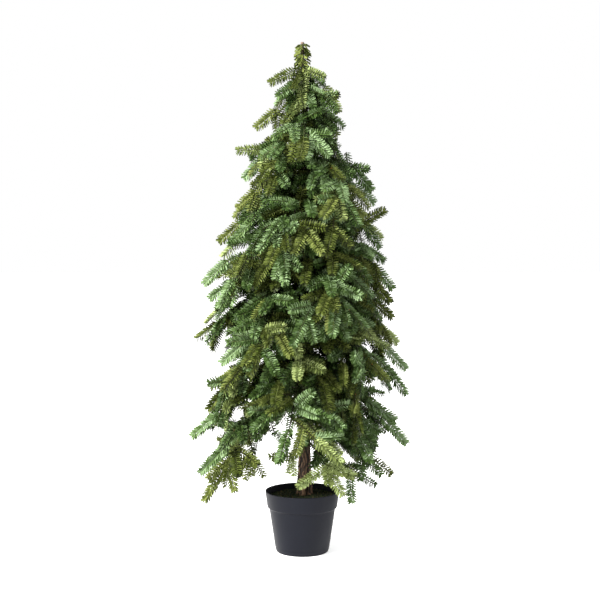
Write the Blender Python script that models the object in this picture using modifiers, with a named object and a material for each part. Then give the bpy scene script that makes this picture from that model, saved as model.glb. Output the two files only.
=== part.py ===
"""Potted artificial fir tree, 1.2 m tall: a weighted pot, a straight trunk, drooping boughs
in a golden-angle spiral, and one mass of needle sprays on the end of each bough.

Units are metres, +Z is up, and the origin is the centre of the pot's flat underside.
"""
import random
from math import cos, hypot, pi, radians, sin

import bmesh
import bpy
import numpy as np
from mathutils.bvhtree import BVHTree

# Whole tree
TREE_HEIGHT = 1.200
GAP = 0.0003
SEED = 15
UP = np.array((0.0, 0.0, 1.0))
GOLDEN_ANGLE = radians(137.508)

# Pot
POT_HEIGHT = 0.1463
POT_RIM_RADIUS = 0.0882
POT_BAND_RADIUS = 0.0832
POT_BAND_LOW = 0.1080
POT_STEP_RADIUS = 0.0772
POT_STEP_LOW = 0.0946
POT_CORNER_RADIUS = 0.0640
POT_CORNER_HEIGHT = 0.0070
POT_FOOT_RADIUS = 0.0597
POT_WALL = 0.0026
POT_FLOOR = 0.0040
POT_STEPS = 30

# Filling with moss on top
SOIL_HEIGHT = 0.1370
SOIL_EDGE_HEIGHT = 0.1310
SOIL_FLAT_RADIUS = 0.0240
SOIL_SHOULDER = (0.0560, 0.1348)

# Trunk: its radius at a height, and how far its centre stands towards +X there
TRUNK_FOOT = SOIL_HEIGHT + GAP
TRUNK_TOP = 1.1180
TRUNK_SIDES = 12
TRUNK_RINGS = 17
TRUNK_RADII = ((0.137, 0.0180), (0.148, 0.0160), (0.170, 0.0146), (0.190, 0.0132),
               (0.400, 0.0105), (1.050, 0.0045), (1.128, 0.0028))
TRUNK_OFFSETS = ((0.137, 0.0050), (1.050, 0.0070), (1.128, 0.0010), (1.140, 0.0000))
FLARE_LOBES = 3
FLARE_DEPTH = 0.16
FLARE_TURN = 0.5
FLARE_TOP = 0.230
FLARE_RINGS = (0.148, 0.160, 0.175, 0.195)

# Boughs and masses
MASS_COUNT = 30
BOUGH_COUNT = 22
FIRST_AZIMUTH = radians(300)
LOWEST_TIP = 0.155
HIGHEST_TIP = 1.070
TIP_GAP_LOW = 0.034
TIP_GAP_HIGH = 0.026
TIP_SHIFT = 0.010
AZIMUTH_SHIFT = 0.16
# Shape of a limb: its reach as a share of the crown's, its drop as a share of its reach,
# and how far out, down and aside its knee lies
ARM_SHARE = (0.74, 0.84)
DROP_LOW = 0.78
DROP_HIGH = 0.50
DROP_SPREAD = (0.85, 1.15)
KNEE_REACH = 0.55
KNEE_DROP = 0.22
KNEE_SWAY = 0.10
# Share of a limb's line that is its bough, where its mass's space begins, and how far
# that space runs on past the limb's tip
BOUGH_END = 0.30
SPACE_START = 0.10
SPACE_BEYOND = 0.060
BOUGH_RADII = (0.0036, 0.0027)
STEM_RADII = (0.0036, 0.0028)
TWIG_RADIUS = 0.0014
SIDE_SPRAY_ROOT = 0.0006

# Crown outline: height and reach from the axis, seen from the front
LEFT_REACH = ((0.12, 0.246), (0.20, 0.252), (0.27, 0.268), (0.345, 0.244), (0.485, 0.264),
              (0.55, 0.245), (0.64, 0.240), (0.735, 0.205), (0.82, 0.162), (0.955, 0.158),
              (1.00, 0.114), (1.11, 0.082), (1.16, 0.048))
RIGHT_REACH = ((0.12, 0.128), (0.18, 0.214), (0.26, 0.257), (0.32, 0.236), (0.42, 0.257),
               (0.55, 0.228), (0.63, 0.224), (0.75, 0.206), (0.83, 0.190), (0.91, 0.163),
               (1.00, 0.112), (1.12, 0.066), (1.16, 0.048))
CROWN_TOP = 1.150
# Underside of the crown: distance from the axis and lowest height there
SKIRT = ((0.02, 0.270), (0.09, 0.230), (0.15, 0.165), (0.21, 0.118))
SKIRT_LIFT = 0.090

# Sprays of needles, low in the crown and at its top
SPRAY_LENGTHS = (0.108, 0.066)
SPRAY_WIDTHS = (0.044, 0.036)
SPRAY_RIDGE = 0.0050
# Half outline of a spray: share of its length, and of its half width
SPRAY_OUTLINE = ((0.10, 0.22), (0.40, 1.00), (0.50, 0.54), (0.86, 0.86))
# Aim of a spray: how much it droops on the end of a twig and beside it, and its spread
END_DROOP = 0.90
SIDE_DROOP = 0.25
AIM_SPREAD = 0.12
ROLL_SPREAD = 0.45
# Twigs: steps, spacing along the stem, and angles off the line that carries them, in degrees
TWIG_STEP = 0.012
TWIG_STEPS = 13
TWIG_DROOP = 0.045
TWIG_SPACING = 0.014
TWIG_YAWS = (38, 66)
SPRAY_SPACING = 0.036
SPRAY_YAWS = (38, 55)
# Least distances between the midlines of full-size sprays, in the first round and the second
CROWDING = (0.042, 0.035)

# Clearances of the foliage: from the next mass's space, from a limb, and from its own bough
CELL_MARGIN = 0.0044
LIMB_MARGIN = 0.0045
OWN_LIMB_MARGIN = 0.0006

# Leader at the top of the trunk, with a whorl of drooping sprays at its foot
WHORL_COUNT = 11
WHORL_HEIGHTS = (1.141, 1.123)
WHORL_SLOPES = (radians(22), radians(56))
WHORL_LENGTH = 0.074
LEADER_FOOT = 1.146
LEADER_STEM = ((TRUNK_TOP + GAP, 0.0032), (LEADER_FOOT, 0.0036), (TREE_HEIGHT - 0.004, 0.0040),
               (TREE_HEIGHT, 0.0022))
LEADER_TIERS = (0.0205, 0.0205, 0.0199, 0.0185, 0.0160)
LEADER_TOP_TIER = TREE_HEIGHT - 0.008
LEADER_TEETH = 6
LEADER_NOTCH = 0.62
LEADER_SLOPE = 0.42
LEADER_TWIST = 0.6


# Small vector helpers

def unit(vector):
    return vector / np.linalg.norm(vector)


def turned(vector, axis, angle):
    """The vector turned about a unit axis."""
    along = axis * (np.dot(axis, vector) * (1 - cos(angle)))
    return vector * cos(angle) + np.cross(axis, vector) * sin(angle) + along


def drooped(vector, amount):
    return unit(vector - UP * amount)


def read_off(table, value):
    """Straight-line reading from a short table of pairs."""
    places, values = zip(*table)
    return np.interp(value, places, values)


def bend(ctrl, u):
    """Point of a quadratic curve."""
    return (1 - u) ** 2 * ctrl[0] + 2 * u * (1 - u) * ctrl[1] + u * u * ctrl[2]


def bend_heading(ctrl, u):
    return unit((1 - u) * (ctrl[1] - ctrl[0]) + u * (ctrl[2] - ctrl[1]))


# Trunk line and crown outline

def trunk_centre(height):
    return np.array((read_off(TRUNK_OFFSETS, height), 0.0, height))


def trunk_radius(height):
    return float(read_off(TRUNK_RADII, height))


def crown_reach(azimuth, height):
    """Reach of the crown, blended round from its right outline to its left one."""
    right_share = 0.5 + 0.5 * np.cos(azimuth)
    return read_off(RIGHT_REACH, height) * right_share + read_off(LEFT_REACH, height) * (1 - right_share)


def skirt_height(radius, y, index):
    """Lowest height of the foliage: only the first mass hangs as low in front as at the sides."""
    lift = SKIRT_LIFT if index else 0.0
    return read_off(SKIRT, radius) + lift * (y / np.maximum(radius, 1e-6)) ** 2


def spray_size(height):
    """Length and width of a spray at a height."""
    rise = min(max((height - 0.25) / 0.75, 0.0), 1.0)
    length = SPRAY_LENGTHS[0] + (SPRAY_LENGTHS[1] - SPRAY_LENGTHS[0]) * rise
    width = SPRAY_WIDTHS[0] + (SPRAY_WIDTHS[1] - SPRAY_WIDTHS[0]) * rise
    return length, width


def plan_limbs():
    """Lines of all limbs, as a spiral of drooping quadratic curves from the bottom up."""
    rnd = random.Random(SEED)
    gaps = np.linspace(TIP_GAP_LOW, TIP_GAP_HIGH, MASS_COUNT - 1)
    stretch = (HIGHEST_TIP - LOWEST_TIP) / sum(gaps)
    limbs = []
    for index in range(MASS_COUNT):
        shift = rnd.uniform(-TIP_SHIFT, TIP_SHIFT) if index else 0.0
        tip_height = LOWEST_TIP + stretch * sum(gaps[:index]) + shift
        azimuth = FIRST_AZIMUTH + GOLDEN_ANGLE * index + rnd.uniform(-AZIMUTH_SHIFT, AZIMUTH_SHIFT)
        arm = crown_reach(azimuth, tip_height) * rnd.uniform(*ARM_SHARE)
        drop_share = DROP_LOW + (DROP_HIGH - DROP_LOW) * index / (MASS_COUNT - 1)
        drop = arm * drop_share * rnd.uniform(*DROP_SPREAD)
        outward = np.array((cos(azimuth), sin(azimuth), 0.0))
        sideways = np.array((-sin(azimuth), cos(azimuth), 0.0)) * rnd.uniform(-KNEE_SWAY, KNEE_SWAY)
        root = trunk_centre(tip_height + drop)
        knee = root + (outward * KNEE_REACH + sideways) * arm - UP * drop * KNEE_DROP
        tip = trunk_centre(tip_height) + outward * arm
        limbs.append((root, knee, tip))
    return limbs


def whorl_lines():
    """Root and tip of each spray in the whorl under the leader, steeper from the top down."""
    heights = np.linspace(*WHORL_HEIGHTS, WHORL_COUNT)
    slopes = np.linspace(*WHORL_SLOPES, WHORL_COUNT)
    lines = []
    for place, (height, slope) in enumerate(zip(heights, slopes)):
        azimuth = GOLDEN_ANGLE * place
        root = trunk_centre(height)
        aim = np.array((cos(azimuth) * cos(slope), sin(azimuth) * cos(slope), -sin(slope)))
        lines.append((root, root + aim * WHORL_LENGTH))
    return lines


# Spaces of the masses

def line_distances(points, starts, ends):
    """Distance of each point to each straight piece."""
    run = ends - starts
    along = ((points[:, None, :] - starts) * run).sum(2) / (run * run).sum(1)
    nearest = starts + np.clip(along, 0, 1)[..., None] * run
    return np.linalg.norm(points[:, None, :] - nearest, axis=2)


class Crown:
    """Each mass owns what lies nearest to its own stem line, clear of every limb."""

    def __init__(self, limbs):
        self.midlines = np.zeros((0, 3))
        space, wood = [], []
        for index, limb in enumerate(limbs):
            line = [bend(limb, u) for u in np.linspace(SPACE_START, 1.0, 9)]
            line.append(line[-1] + bend_heading(limb, 1.0) * SPACE_BEYOND)
            space += [(a, b, index, 0.0) for a, b in zip(line[:-1], line[1:])]
            if index < BOUGH_COUNT:
                line = [bend(limb, u) for u in np.linspace(0.0, BOUGH_END, 5)]
                wood += [(a, b, index, BOUGH_RADII[0]) for a, b in zip(line[:-1], line[1:])]
        space += [(root, tip, MASS_COUNT, 0.0) for root, tip in whorl_lines()]
        heights = np.linspace(TRUNK_FOOT, TRUNK_TOP, 14)
        for low, high in zip(heights[:-1], heights[1:]):
            wood.append((trunk_centre(low), trunk_centre(high), -1, trunk_radius(low)))
        self.space = [np.array(column) for column in zip(*space)]
        self.wood = [np.array(column) for column in zip(*wood)]

    def holds(self, points, index):
        """Whether all points lie in the mass's own space."""
        x, y, z = points.T
        radius = np.hypot(x, y)
        if (z > CROWN_TOP).any() or (radius > crown_reach(np.arctan2(y, x), z) + 0.001).any():
            return False
        if (z < skirt_height(radius, y, index)).any():
            return False
        starts, ends, owner, _ = self.space
        away = line_distances(points, starts, ends)
        if (away[:, owner == index].min(1) + CELL_MARGIN > away[:, owner != index].min(1)).any():
            return False
        starts, ends, owner, thickness = self.wood
        clear = line_distances(points, starts, ends) - thickness
        return not (clear < np.where(owner == index, OWN_LIMB_MARGIN, LIMB_MARGIN)).any()

    def room(self, midline):
        """Distance from a spray's midline to the sprays that stand already."""
        if not len(self.midlines):
            return 1.0
        steps = self.midlines[:, None, :] - midline
        return float(np.sqrt((steps ** 2).sum(2).min()))

    def add(self, midline):
        self.midlines = np.vstack([self.midlines, midline])


# Growth of one mass

def flat_of(axis, roll):
    """Upper side of a blade along an axis."""
    return turned(unit(UP - axis * axis[2]), axis, roll)


def blade_samples(root, axis, flat, length, width):
    """Points over a blade, three across and seven along, those in the middle on its ridge."""
    side = np.cross(flat, axis)
    points = []
    for share in np.linspace(0.12, 1.0, 7):
        half = width * 0.5 * (1.0 if share < 0.9 else 0.5)
        middle = root + axis * (length * share)
        points += [middle - side * half, middle + flat * SPRAY_RIDGE, middle + side * half]
    return np.array(points)


def surface_tree(solid):
    return BVHTree.FromPolygons([tuple(point) for point in solid[0]], solid[1])


def crosses(tree, standing, carrier):
    """Whether a solid cuts one of the mass that doesn't carry it."""
    return any(tree.overlap(other) for place, other in enumerate(standing) if place != carrier)


def fit_spray(crown, rnd, twig, heading, index, crowding, tries, standing, carrier):
    """The roomiest of a few tries at a spray on the end of a twig, or nothing."""
    root = twig[-1]
    full_length, full_width = spray_size(root[2])
    best = None
    for attempt in range(tries):
        length = full_length * rnd.uniform(0.86, 1.08) * (1 - 0.05 * attempt)
        width = full_width * rnd.uniform(0.92, 1.05)
        spread = AIM_SPREAD * (1 + attempt / 3)
        axis = unit(heading + np.array([rnd.gauss(0, spread) for _ in range(3)]))
        flat = flat_of(axis, rnd.gauss(0, ROLL_SPREAD))
        samples = blade_samples(root, axis, flat, length, width)
        midline = samples[4::3]
        room = crown.room(midline)
        if room < crowding * full_length / SPRAY_LENGTHS[0] or (best and room <= best["room"]):
            continue
        if not crown.holds(samples, index):
            continue
        solid = spray_solid(twig, axis, flat, length, width)
        tree = surface_tree(solid)
        if not crosses(tree, standing, carrier):
            best = {"room": room, "tip": root + axis * length, "midline": midline,
                    "twig": twig, "solid": solid, "tree": tree}
    return best


def walk_twig(crown, base, heading, index):
    """Steps of a twig from its base, drooping as it goes, until it would leave its space."""
    walk = [([base], heading)]
    for _ in range(TWIG_STEPS):
        point = walk[-1][0][-1] + heading * TWIG_STEP
        if not crown.holds(point[None], index):
            break
        heading = drooped(heading, TWIG_DROOP)
        walk.append((walk[-1][0] + [point], heading))
    return walk


def grow_twig(crown, rnd, base, heading, index, crowding, solids, standing):
    """A twig with its end spray where there is most room, and sprays to left and right."""
    best, best_score = None, 0.0
    for twig, end_heading in walk_twig(crown, base, heading, index):
        aim = drooped(end_heading, END_DROOP)
        found = fit_spray(crown, rnd, twig, aim, index, crowding, 3, standing, 0)
        if not found:
            continue
        score = found["room"] + 0.1 * hypot(found["tip"][0], found["tip"][1])
        if score > best_score:
            best, best_score = found, score
    if not best:
        return
    carrier = len(standing)
    keep_spray(crown, best, solids, standing)
    line = best["twig"]
    total = (len(line) - 1) * TWIG_STEP
    hand = rnd.choice((-1, 1))
    for place in range(int(total / SPRAY_SPACING + 0.35)):
        run = total - SPRAY_SPACING * (place + 0.75)
        if run < 0.004:
            break
        step = int(run / TWIG_STEP)
        ahead = unit(line[step + 1] - line[step])
        root = line[step] + ahead * (run - step * TWIG_STEP)
        lateral = unit(np.cross(UP, ahead))
        yaw = radians(rnd.uniform(*SPRAY_YAWS))
        hand = -hand
        for side in (hand, -hand):
            aim = drooped(ahead * cos(yaw) + lateral * side * sin(yaw), SIDE_DROOP)
            found = fit_spray(crown, rnd, [root], aim, index, crowding, 4, standing, carrier)
            if found:
                keep_spray(crown, found, solids, standing)
                break


def keep_spray(crown, spray, solids, standing):
    crown.add(spray["midline"])
    solids.append(spray["solid"])
    standing.append(spray["tree"])


def grow_mass(crown, limb, index):
    """Solids of a mass: its stem, then every spray with its twig."""
    rnd = random.Random(SEED * 1000 + index)
    for stem_end in np.arange(1.0, 0.6, -0.05):
        tip = [bend(limb, stem_end)]
        end_spray = fit_spray(crown, rnd, tip, bend_heading(limb, stem_end), index, 0.01, 5, [], 0)
        if end_spray:
            break
    stem = stem_solid(limb, index, stem_end)
    solids, standing = [stem], [surface_tree(stem)]
    if end_spray:
        keep_spray(crown, end_spray, solids, standing)
    first = BOUGH_END + 0.02 if index < BOUGH_COUNT else SPACE_START
    line = [bend(limb, u) for u in np.linspace(first, stem_end, 12)]
    length = sum(np.linalg.norm(b - a) for a, b in zip(line[:-1], line[1:]))
    spacing = TWIG_SPACING * spray_size(limb[2][2])[0] / SPRAY_LENGTHS[0]
    count = int(length / spacing) + 2
    roll = rnd.uniform(0, 2 * pi)
    for crowding in CROWDING:
        for place in range(count):
            roll += GOLDEN_ANGLE
            u = stem_end - (stem_end - first) * (place + rnd.uniform(0.2, 0.8)) / count
            ahead = bend_heading(limb, u)
            lateral = unit(np.cross(UP, ahead))
            rising = np.cross(ahead, lateral)
            yaw = radians(rnd.uniform(*TWIG_YAWS))
            heading = unit(ahead * cos(yaw) + (lateral * cos(roll) + rising * sin(roll)) * sin(yaw))
            grow_twig(crown, rnd, bend(limb, u), heading, index, crowding, solids, standing)
    return solids


# Mesh helpers

def plain_material(name, colour, roughness):
    material = bpy.data.materials.new(name)
    material.use_nodes = True
    shader = material.node_tree.nodes["Principled BSDF"]
    shader.inputs["Base Color"].default_value = (*colour, 1.0)
    shader.inputs["Roughness"].default_value = roughness
    shader.inputs["Metallic"].default_value = 0.0
    return material


def new_collection(name):
    collection = bpy.data.collections.new(name)
    bpy.context.scene.collection.children.link(collection)
    return collection


def mesh_object(name, points, faces, collection, material=None):
    """Object from points and faces, with the faces turned outward."""
    mesh = bpy.data.meshes.new(name)
    mesh.from_pydata([tuple(point) for point in points], [], faces)
    work = bmesh.new()
    work.from_mesh(mesh)
    bmesh.ops.recalc_face_normals(work, faces=work.faces)
    work.to_mesh(mesh)
    work.free()
    if material:
        mesh.materials.append(material)
    piece = bpy.data.objects.new(name, mesh)
    collection.objects.link(piece)
    return piece


def ring(centre, heading, flat, radius, sides):
    """Corners of a regular section across a heading, the first on its flat side."""
    flat = unit(flat - heading * np.dot(flat, heading))
    side = np.cross(flat, heading)
    angles = [2 * pi * i / sides for i in range(sides)]
    return [centre + (flat * cos(a) + side * sin(a)) * radius for a in angles]


def skin(rings, closed_end=True):
    """Points and faces of a loft over rings with the same number of corners."""
    sides = len(rings[0])
    points = [point for corners in rings for point in corners]
    faces = [tuple(range(sides))]
    for level in range(len(rings) - 1):
        for i in range(sides):
            j = (i + 1) % sides
            low, high = level * sides, (level + 1) * sides
            faces.append((low + i, low + j, high + j, high + i))
    if closed_end:
        faces.append(tuple(range(len(points) - sides, len(points))))
    return points, faces


def turned_solid(name, profile, steps, collection, material):
    """Solid of revolution from a profile that starts and ends on the axis."""
    mesh = bpy.data.meshes.new(name)
    edges = [(i, i + 1) for i in range(len(profile) - 1)]
    mesh.from_pydata([(radius, 0.0, height) for radius, height in profile], edges, [])
    mesh.materials.append(material)
    piece = bpy.data.objects.new(name, mesh)
    collection.objects.link(piece)
    screw = piece.modifiers.new("Turn", "SCREW")
    screw.steps = steps
    screw.render_steps = steps
    screw.use_merge_vertices = True
    screw.merge_threshold = 0.00001
    return piece


def shade_round(piece):
    piece.data.shade_smooth()
    piece.data.set_sharp_from_angle(angle=radians(40))


# Pot and filling

def pot_inside(clearance):
    """Profile of the pot's inside from its floor to its band, drawn in by a clearance."""
    wall = POT_WALL + clearance
    return [(POT_CORNER_RADIUS - wall, POT_FLOOR), (POT_STEP_RADIUS - wall, POT_STEP_LOW),
            (POT_BAND_RADIUS - wall, POT_BAND_LOW)]


def build_pot(collection, material):
    lip = POT_WALL * 0.3
    profile = [(0.0, POT_FLOOR), *pot_inside(0.0), (POT_RIM_RADIUS - POT_WALL, POT_HEIGHT - lip),
               (POT_RIM_RADIUS - 2 * lip, POT_HEIGHT), (POT_RIM_RADIUS - lip, POT_HEIGHT),
               (POT_RIM_RADIUS, POT_HEIGHT - lip), (POT_BAND_RADIUS, POT_BAND_LOW),
               (POT_STEP_RADIUS, POT_STEP_LOW), (POT_CORNER_RADIUS, POT_CORNER_HEIGHT),
               ((POT_CORNER_RADIUS + POT_FOOT_RADIUS) / 2, POT_CORNER_HEIGHT / 5),
               (POT_FOOT_RADIUS, 0.0), (0.0, 0.0)]
    return turned_solid("pot", profile, POT_STEPS, collection, material)


def build_filling(collection, material):
    """Cement filling with a low dome of moss, a hair clear of the pot's inside."""
    inside = pot_inside(2 * GAP)
    floor = POT_FLOOR + GAP
    slope = (POT_RIM_RADIUS - POT_BAND_RADIUS) / (POT_HEIGHT - POT_BAND_LOW)
    edge = inside[2][0] + slope * (SOIL_EDGE_HEIGHT - POT_BAND_LOW)
    profile = [(0.0, SOIL_HEIGHT), (SOIL_FLAT_RADIUS, SOIL_HEIGHT), SOIL_SHOULDER,
               (edge - 0.004, SOIL_EDGE_HEIGHT), (edge - 0.001, SOIL_EDGE_HEIGHT - 0.003),
               inside[2], inside[1], (inside[0][0], floor), (0.0, floor)]
    return turned_solid("filling", profile, POT_STEPS, collection, material)


# Trunk and boughs

def trunk_rings(extra):
    """Rings of the trunk, grown by an extra clearance."""
    heights = [TRUNK_FOOT, *FLARE_RINGS, *np.linspace(FLARE_TOP, TRUNK_TOP, TRUNK_RINGS)]
    rings = []
    for height in heights:
        radius = trunk_radius(height) + extra
        flare = max(0.0, (FLARE_TOP - height) / (FLARE_TOP - TRUNK_FOOT))
        corners = []
        for side in range(TRUNK_SIDES):
            angle = 2 * pi * side / TRUNK_SIDES
            lobe = 1 + FLARE_DEPTH * flare * cos(FLARE_LOBES * angle + FLARE_TURN)
            outward = np.array((cos(angle), sin(angle), 0.0))
            corners.append(trunk_centre(height) + outward * radius * lobe)
        rings.append(corners)
    return rings


def build_trunk(collection, material):
    trunk = mesh_object("trunk", *skin(trunk_rings(0.0)), collection, material)
    shade_round(trunk)
    return trunk


def build_trunk_cutter(collection):
    """The trunk grown by the gap, which the limbs are cut back to."""
    rings = trunk_rings(GAP / cos(pi / TRUNK_SIDES))
    cutter = mesh_object("trunk_clearance", *skin(rings), collection)
    cutter.hide_render = True
    cutter.display_type = "WIRE"
    return cutter


def cut_back(piece, cutter):
    cut = piece.modifiers.new("Trunk clearance", "BOOLEAN")
    cut.operation = "DIFFERENCE"
    cut.solver = "EXACT"
    cut.object = cutter


def bough_line(limb):
    return [bend(limb, u) for u in np.linspace(0.0, BOUGH_END, 3)]


def build_bough(name, limb, cutter, collection, material):
    """A tapering limb from the trunk to where its mass begins."""
    line = bough_line(limb)
    curve = bpy.data.curves.new(name, "CURVE")
    curve.dimensions = "3D"
    curve.bevel_depth = BOUGH_RADII[0]
    curve.bevel_resolution = 1
    curve.use_fill_caps = True
    spline = curve.splines.new("POLY")
    spline.points.add(len(line) - 1)
    for i, point in enumerate(line):
        spline.points[i].co = (*point, 1.0)
        spline.points[i].radius = 1 + (BOUGH_RADII[1] / BOUGH_RADII[0] - 1) * i / (len(line) - 1)
    drawn = bpy.data.objects.new(name + "_line", curve)
    collection.objects.link(drawn)
    evaluated = drawn.evaluated_get(bpy.context.evaluated_depsgraph_get())
    mesh = bpy.data.meshes.new_from_object(evaluated)
    work = bmesh.new()
    work.from_mesh(mesh)
    bmesh.ops.remove_doubles(work, verts=work.verts, dist=0.00001)
    work.to_mesh(mesh)
    work.free()
    bough = bpy.data.objects.new(name, mesh)
    bough.matrix_world = drawn.matrix_world
    collection.objects.link(bough)
    bpy.data.objects.remove(drawn)
    bpy.data.curves.remove(curve)
    mesh.name = name
    mesh.materials.clear()
    mesh.materials.append(material)
    cut_back(bough, cutter)
    return bough


# Masses

def stem_solid(limb, index, stem_end):
    """Three-sided stem of a mass, from its bough's tip or from inside the trunk."""
    if index < BOUGH_COUNT:
        line = bough_line(limb)
        heading = unit(line[-1] - line[-2])
        points = [line[-1] + heading * GAP]
        headings = [heading]
        shares = np.linspace(BOUGH_END, stem_end, 6)[1:]
    else:
        points, headings = [], []
        shares = np.linspace(0.0, stem_end, 5)
    points += [bend(limb, u) for u in shares]
    headings += [bend_heading(limb, u) for u in shares]
    radii = np.linspace(STEM_RADII[0], STEM_RADII[1], len(points))
    return skin([ring(p, h, UP, r, 3) for p, h, r in zip(points, headings, radii)])


def spray_solid(twig, axis, flat, length, width):
    """A toothed blade with a ridge, which widens from the end of its three-sided twig."""
    root, half = twig[-1], width / 2
    thick = TWIG_RADIUS if len(twig) > 1 else SIDE_SPRAY_ROOT
    if len(twig) > 5:
        twig = [twig[0], twig[len(twig) // 2], twig[-1]]
    elif len(twig) > 2:
        twig = [twig[0], twig[-1]]
    rings = []
    for i, point in enumerate(twig[:-1]):
        heading = unit(twig[i + 1] - point)
        rings.append(ring(point, heading, flat, thick, 3))
    rings.append(ring(root, axis, flat, thick, 3))
    points, faces = skin(rings, closed_end=False)
    top, right, left = len(points) - 3, len(points) - 2, len(points) - 1
    side = np.cross(flat, axis)
    base = root - flat * thick * 0.5
    rails = {1: [right], -1: [left]}
    for hand in (1, -1):
        for share, reach in SPRAY_OUTLINE:
            rails[hand].append(len(points))
            points.append(base + axis * length * share + side * hand * half * reach)
    apex = len(points)
    points.append(base + axis * length)
    ridge = len(points)
    points.append(root + axis * length * 0.55 + flat * SPRAY_RIDGE)
    faces.append(tuple(rails[1] + [apex] + rails[-1][::-1]))
    for hand in (1, -1):
        rail = rails[hand] + [apex]
        turn = len(rail) // 2
        for i in range(len(rail) - 1):
            faces.append((rail[i], rail[i + 1], top if i < turn - 1 else ridge))
        faces.append((rail[turn - 1], top, ridge))
    return points, faces


def keep_main_body(mesh):
    """Drops loose scraps and the inner skins of sealed hollows."""
    work = bmesh.new()
    work.from_mesh(mesh)
    bmesh.ops.remove_doubles(work, verts=work.verts, dist=0.000001)
    unseen = set(work.verts)
    bodies = []
    while unseen:
        body, front = set(), [unseen.pop()]
        while front:
            vert = front.pop()
            body.add(vert)
            for edge in vert.link_edges:
                other = edge.other_vert(vert)
                if other in unseen:
                    unseen.remove(other)
                    front.append(other)
        bodies.append(body)
    largest = max(bodies, key=len)
    scraps = [vert for body in bodies if body is not largest for vert in body]
    bmesh.ops.delete(work, geom=scraps, context="VERTS")
    closed = all(edge.is_manifold for edge in work.edges)
    work.to_mesh(mesh)
    work.free()
    return closed


def join_mass(name, solids, collection, material):
    """One body from a stem and all that stands on it."""
    parts = new_collection(name + "_parts")
    stem = mesh_object(name, *solids[0], collection)
    for i, solid in enumerate(solids[1:]):
        mesh_object("%s_%d" % (name, i), *solid, parts)
    union = stem.modifiers.new("Union", "BOOLEAN")
    union.operation = "UNION"
    union.operand_type = "COLLECTION"
    union.collection = parts
    for solver in ("EXACT", "MANIFOLD"):
        union.solver = solver
        evaluated = stem.evaluated_get(bpy.context.evaluated_depsgraph_get())
        mesh = bpy.data.meshes.new_from_object(evaluated)
        if keep_main_body(mesh):
            break
    stem.modifiers.clear()
    stem.data = mesh
    mesh.name = name
    mesh.materials.clear()
    mesh.materials.append(material)
    for piece in list(parts.objects):
        bpy.data.objects.remove(piece)
    bpy.data.collections.remove(parts)
    return stem


def build_leader(crown, collection, material):
    """Upright end shoot: tiers of needles that slope out and down round a stem, over a whorl."""
    rnd = random.Random(SEED)
    side = np.array((1.0, 0.0, 0.0))
    solids = [skin([ring(trunk_centre(height), UP, side, radius, 4) for height, radius in LEADER_STEM])]
    for root, tip in whorl_lines():
        found = fit_spray(crown, rnd, [root], unit(tip - root), MASS_COUNT, 0.004, 8, [], 0)
        if found:
            keep_spray(crown, found, solids, [])
    spacing = (LEADER_TOP_TIER - LEADER_FOOT) / len(LEADER_TIERS)
    for tier, radius in enumerate(LEADER_TIERS):
        centre = trunk_centre(LEADER_FOOT + spacing * (tier + 1))
        corners = []
        for i in range(2 * LEADER_TEETH):
            angle = pi * (i + LEADER_TWIST * tier) / LEADER_TEETH
            reach = radius * (1.0 if i % 2 else LEADER_NOTCH)
            corners.append(centre + np.array((cos(angle), sin(angle), -LEADER_SLOPE)) * reach)
        points = corners + [centre + UP * 0.0030, centre - UP * 0.0090]
        upper, lower = len(corners), len(corners) + 1
        faces = []
        for i in range(len(corners)):
            j = (i + 1) % len(corners)
            faces += [(i, j, upper), (j, i, lower)]
        solids.append((points, faces))
    return join_mass("foliage_leader", solids, collection, material)


def build():
    for old in list(bpy.data.objects):
        bpy.data.objects.remove(old)
    collection = new_collection("potted_fir")
    cutters = new_collection("cutters")
    plastic = plain_material("pot_plastic", (0.035, 0.037, 0.045), 0.55)
    moss = plain_material("moss", (0.05, 0.07, 0.03), 0.95)
    bark = plain_material("bark", (0.16, 0.09, 0.06), 0.85)
    needles = plain_material("needles", (0.07, 0.17, 0.06), 0.60)
    shade_round(build_pot(collection, plastic))
    shade_round(build_filling(collection, moss))
    build_trunk(collection, bark)
    cutter = build_trunk_cutter(cutters)
    limbs = plan_limbs()
    crown = Crown(limbs)
    build_leader(crown, collection, needles)
    for index, limb in enumerate(limbs):
        if index < BOUGH_COUNT:
            build_bough("bough_%02d" % (index + 1), limb, cutter, collection, bark)
        solids = grow_mass(crown, limb, index)
        mass = join_mass("foliage_%02d" % (index + 1), solids, collection, needles)
        if index >= BOUGH_COUNT:
            cut_back(mass, cutter)


build()
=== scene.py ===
"""Looks of a potted artificial fir, 1.2 m tall, dressed round its solids.

Metres, +Z up, in the frame of the solids. The limbs repeat the spiral of the solids, and finer
twigs grow on from them by the same rule, with sprays whose needles are modelled one by one.
"""
from math import cos, hypot, pi, radians, sin
from random import Random

import bpy
import numpy as np
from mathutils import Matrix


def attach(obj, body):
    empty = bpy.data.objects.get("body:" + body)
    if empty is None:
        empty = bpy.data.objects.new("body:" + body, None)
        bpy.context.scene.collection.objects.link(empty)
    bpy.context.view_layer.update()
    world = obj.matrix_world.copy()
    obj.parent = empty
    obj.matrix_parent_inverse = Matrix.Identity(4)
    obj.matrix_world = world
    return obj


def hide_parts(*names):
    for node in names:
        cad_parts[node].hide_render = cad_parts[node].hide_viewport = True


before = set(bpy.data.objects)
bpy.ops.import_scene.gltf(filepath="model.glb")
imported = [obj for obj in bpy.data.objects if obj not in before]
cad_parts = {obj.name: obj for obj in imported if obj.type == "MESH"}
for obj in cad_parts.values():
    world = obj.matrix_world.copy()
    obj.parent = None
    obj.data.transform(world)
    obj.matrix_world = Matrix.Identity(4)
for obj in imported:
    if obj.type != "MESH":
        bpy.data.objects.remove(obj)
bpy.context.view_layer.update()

# Whole tree, as in the solids
TREE_HEIGHT = 1.200
GAP = 0.0003
SEED = 15
UP = np.array((0.0, 0.0, 1.0))
GOLDEN_ANGLE = radians(137.508)

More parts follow.
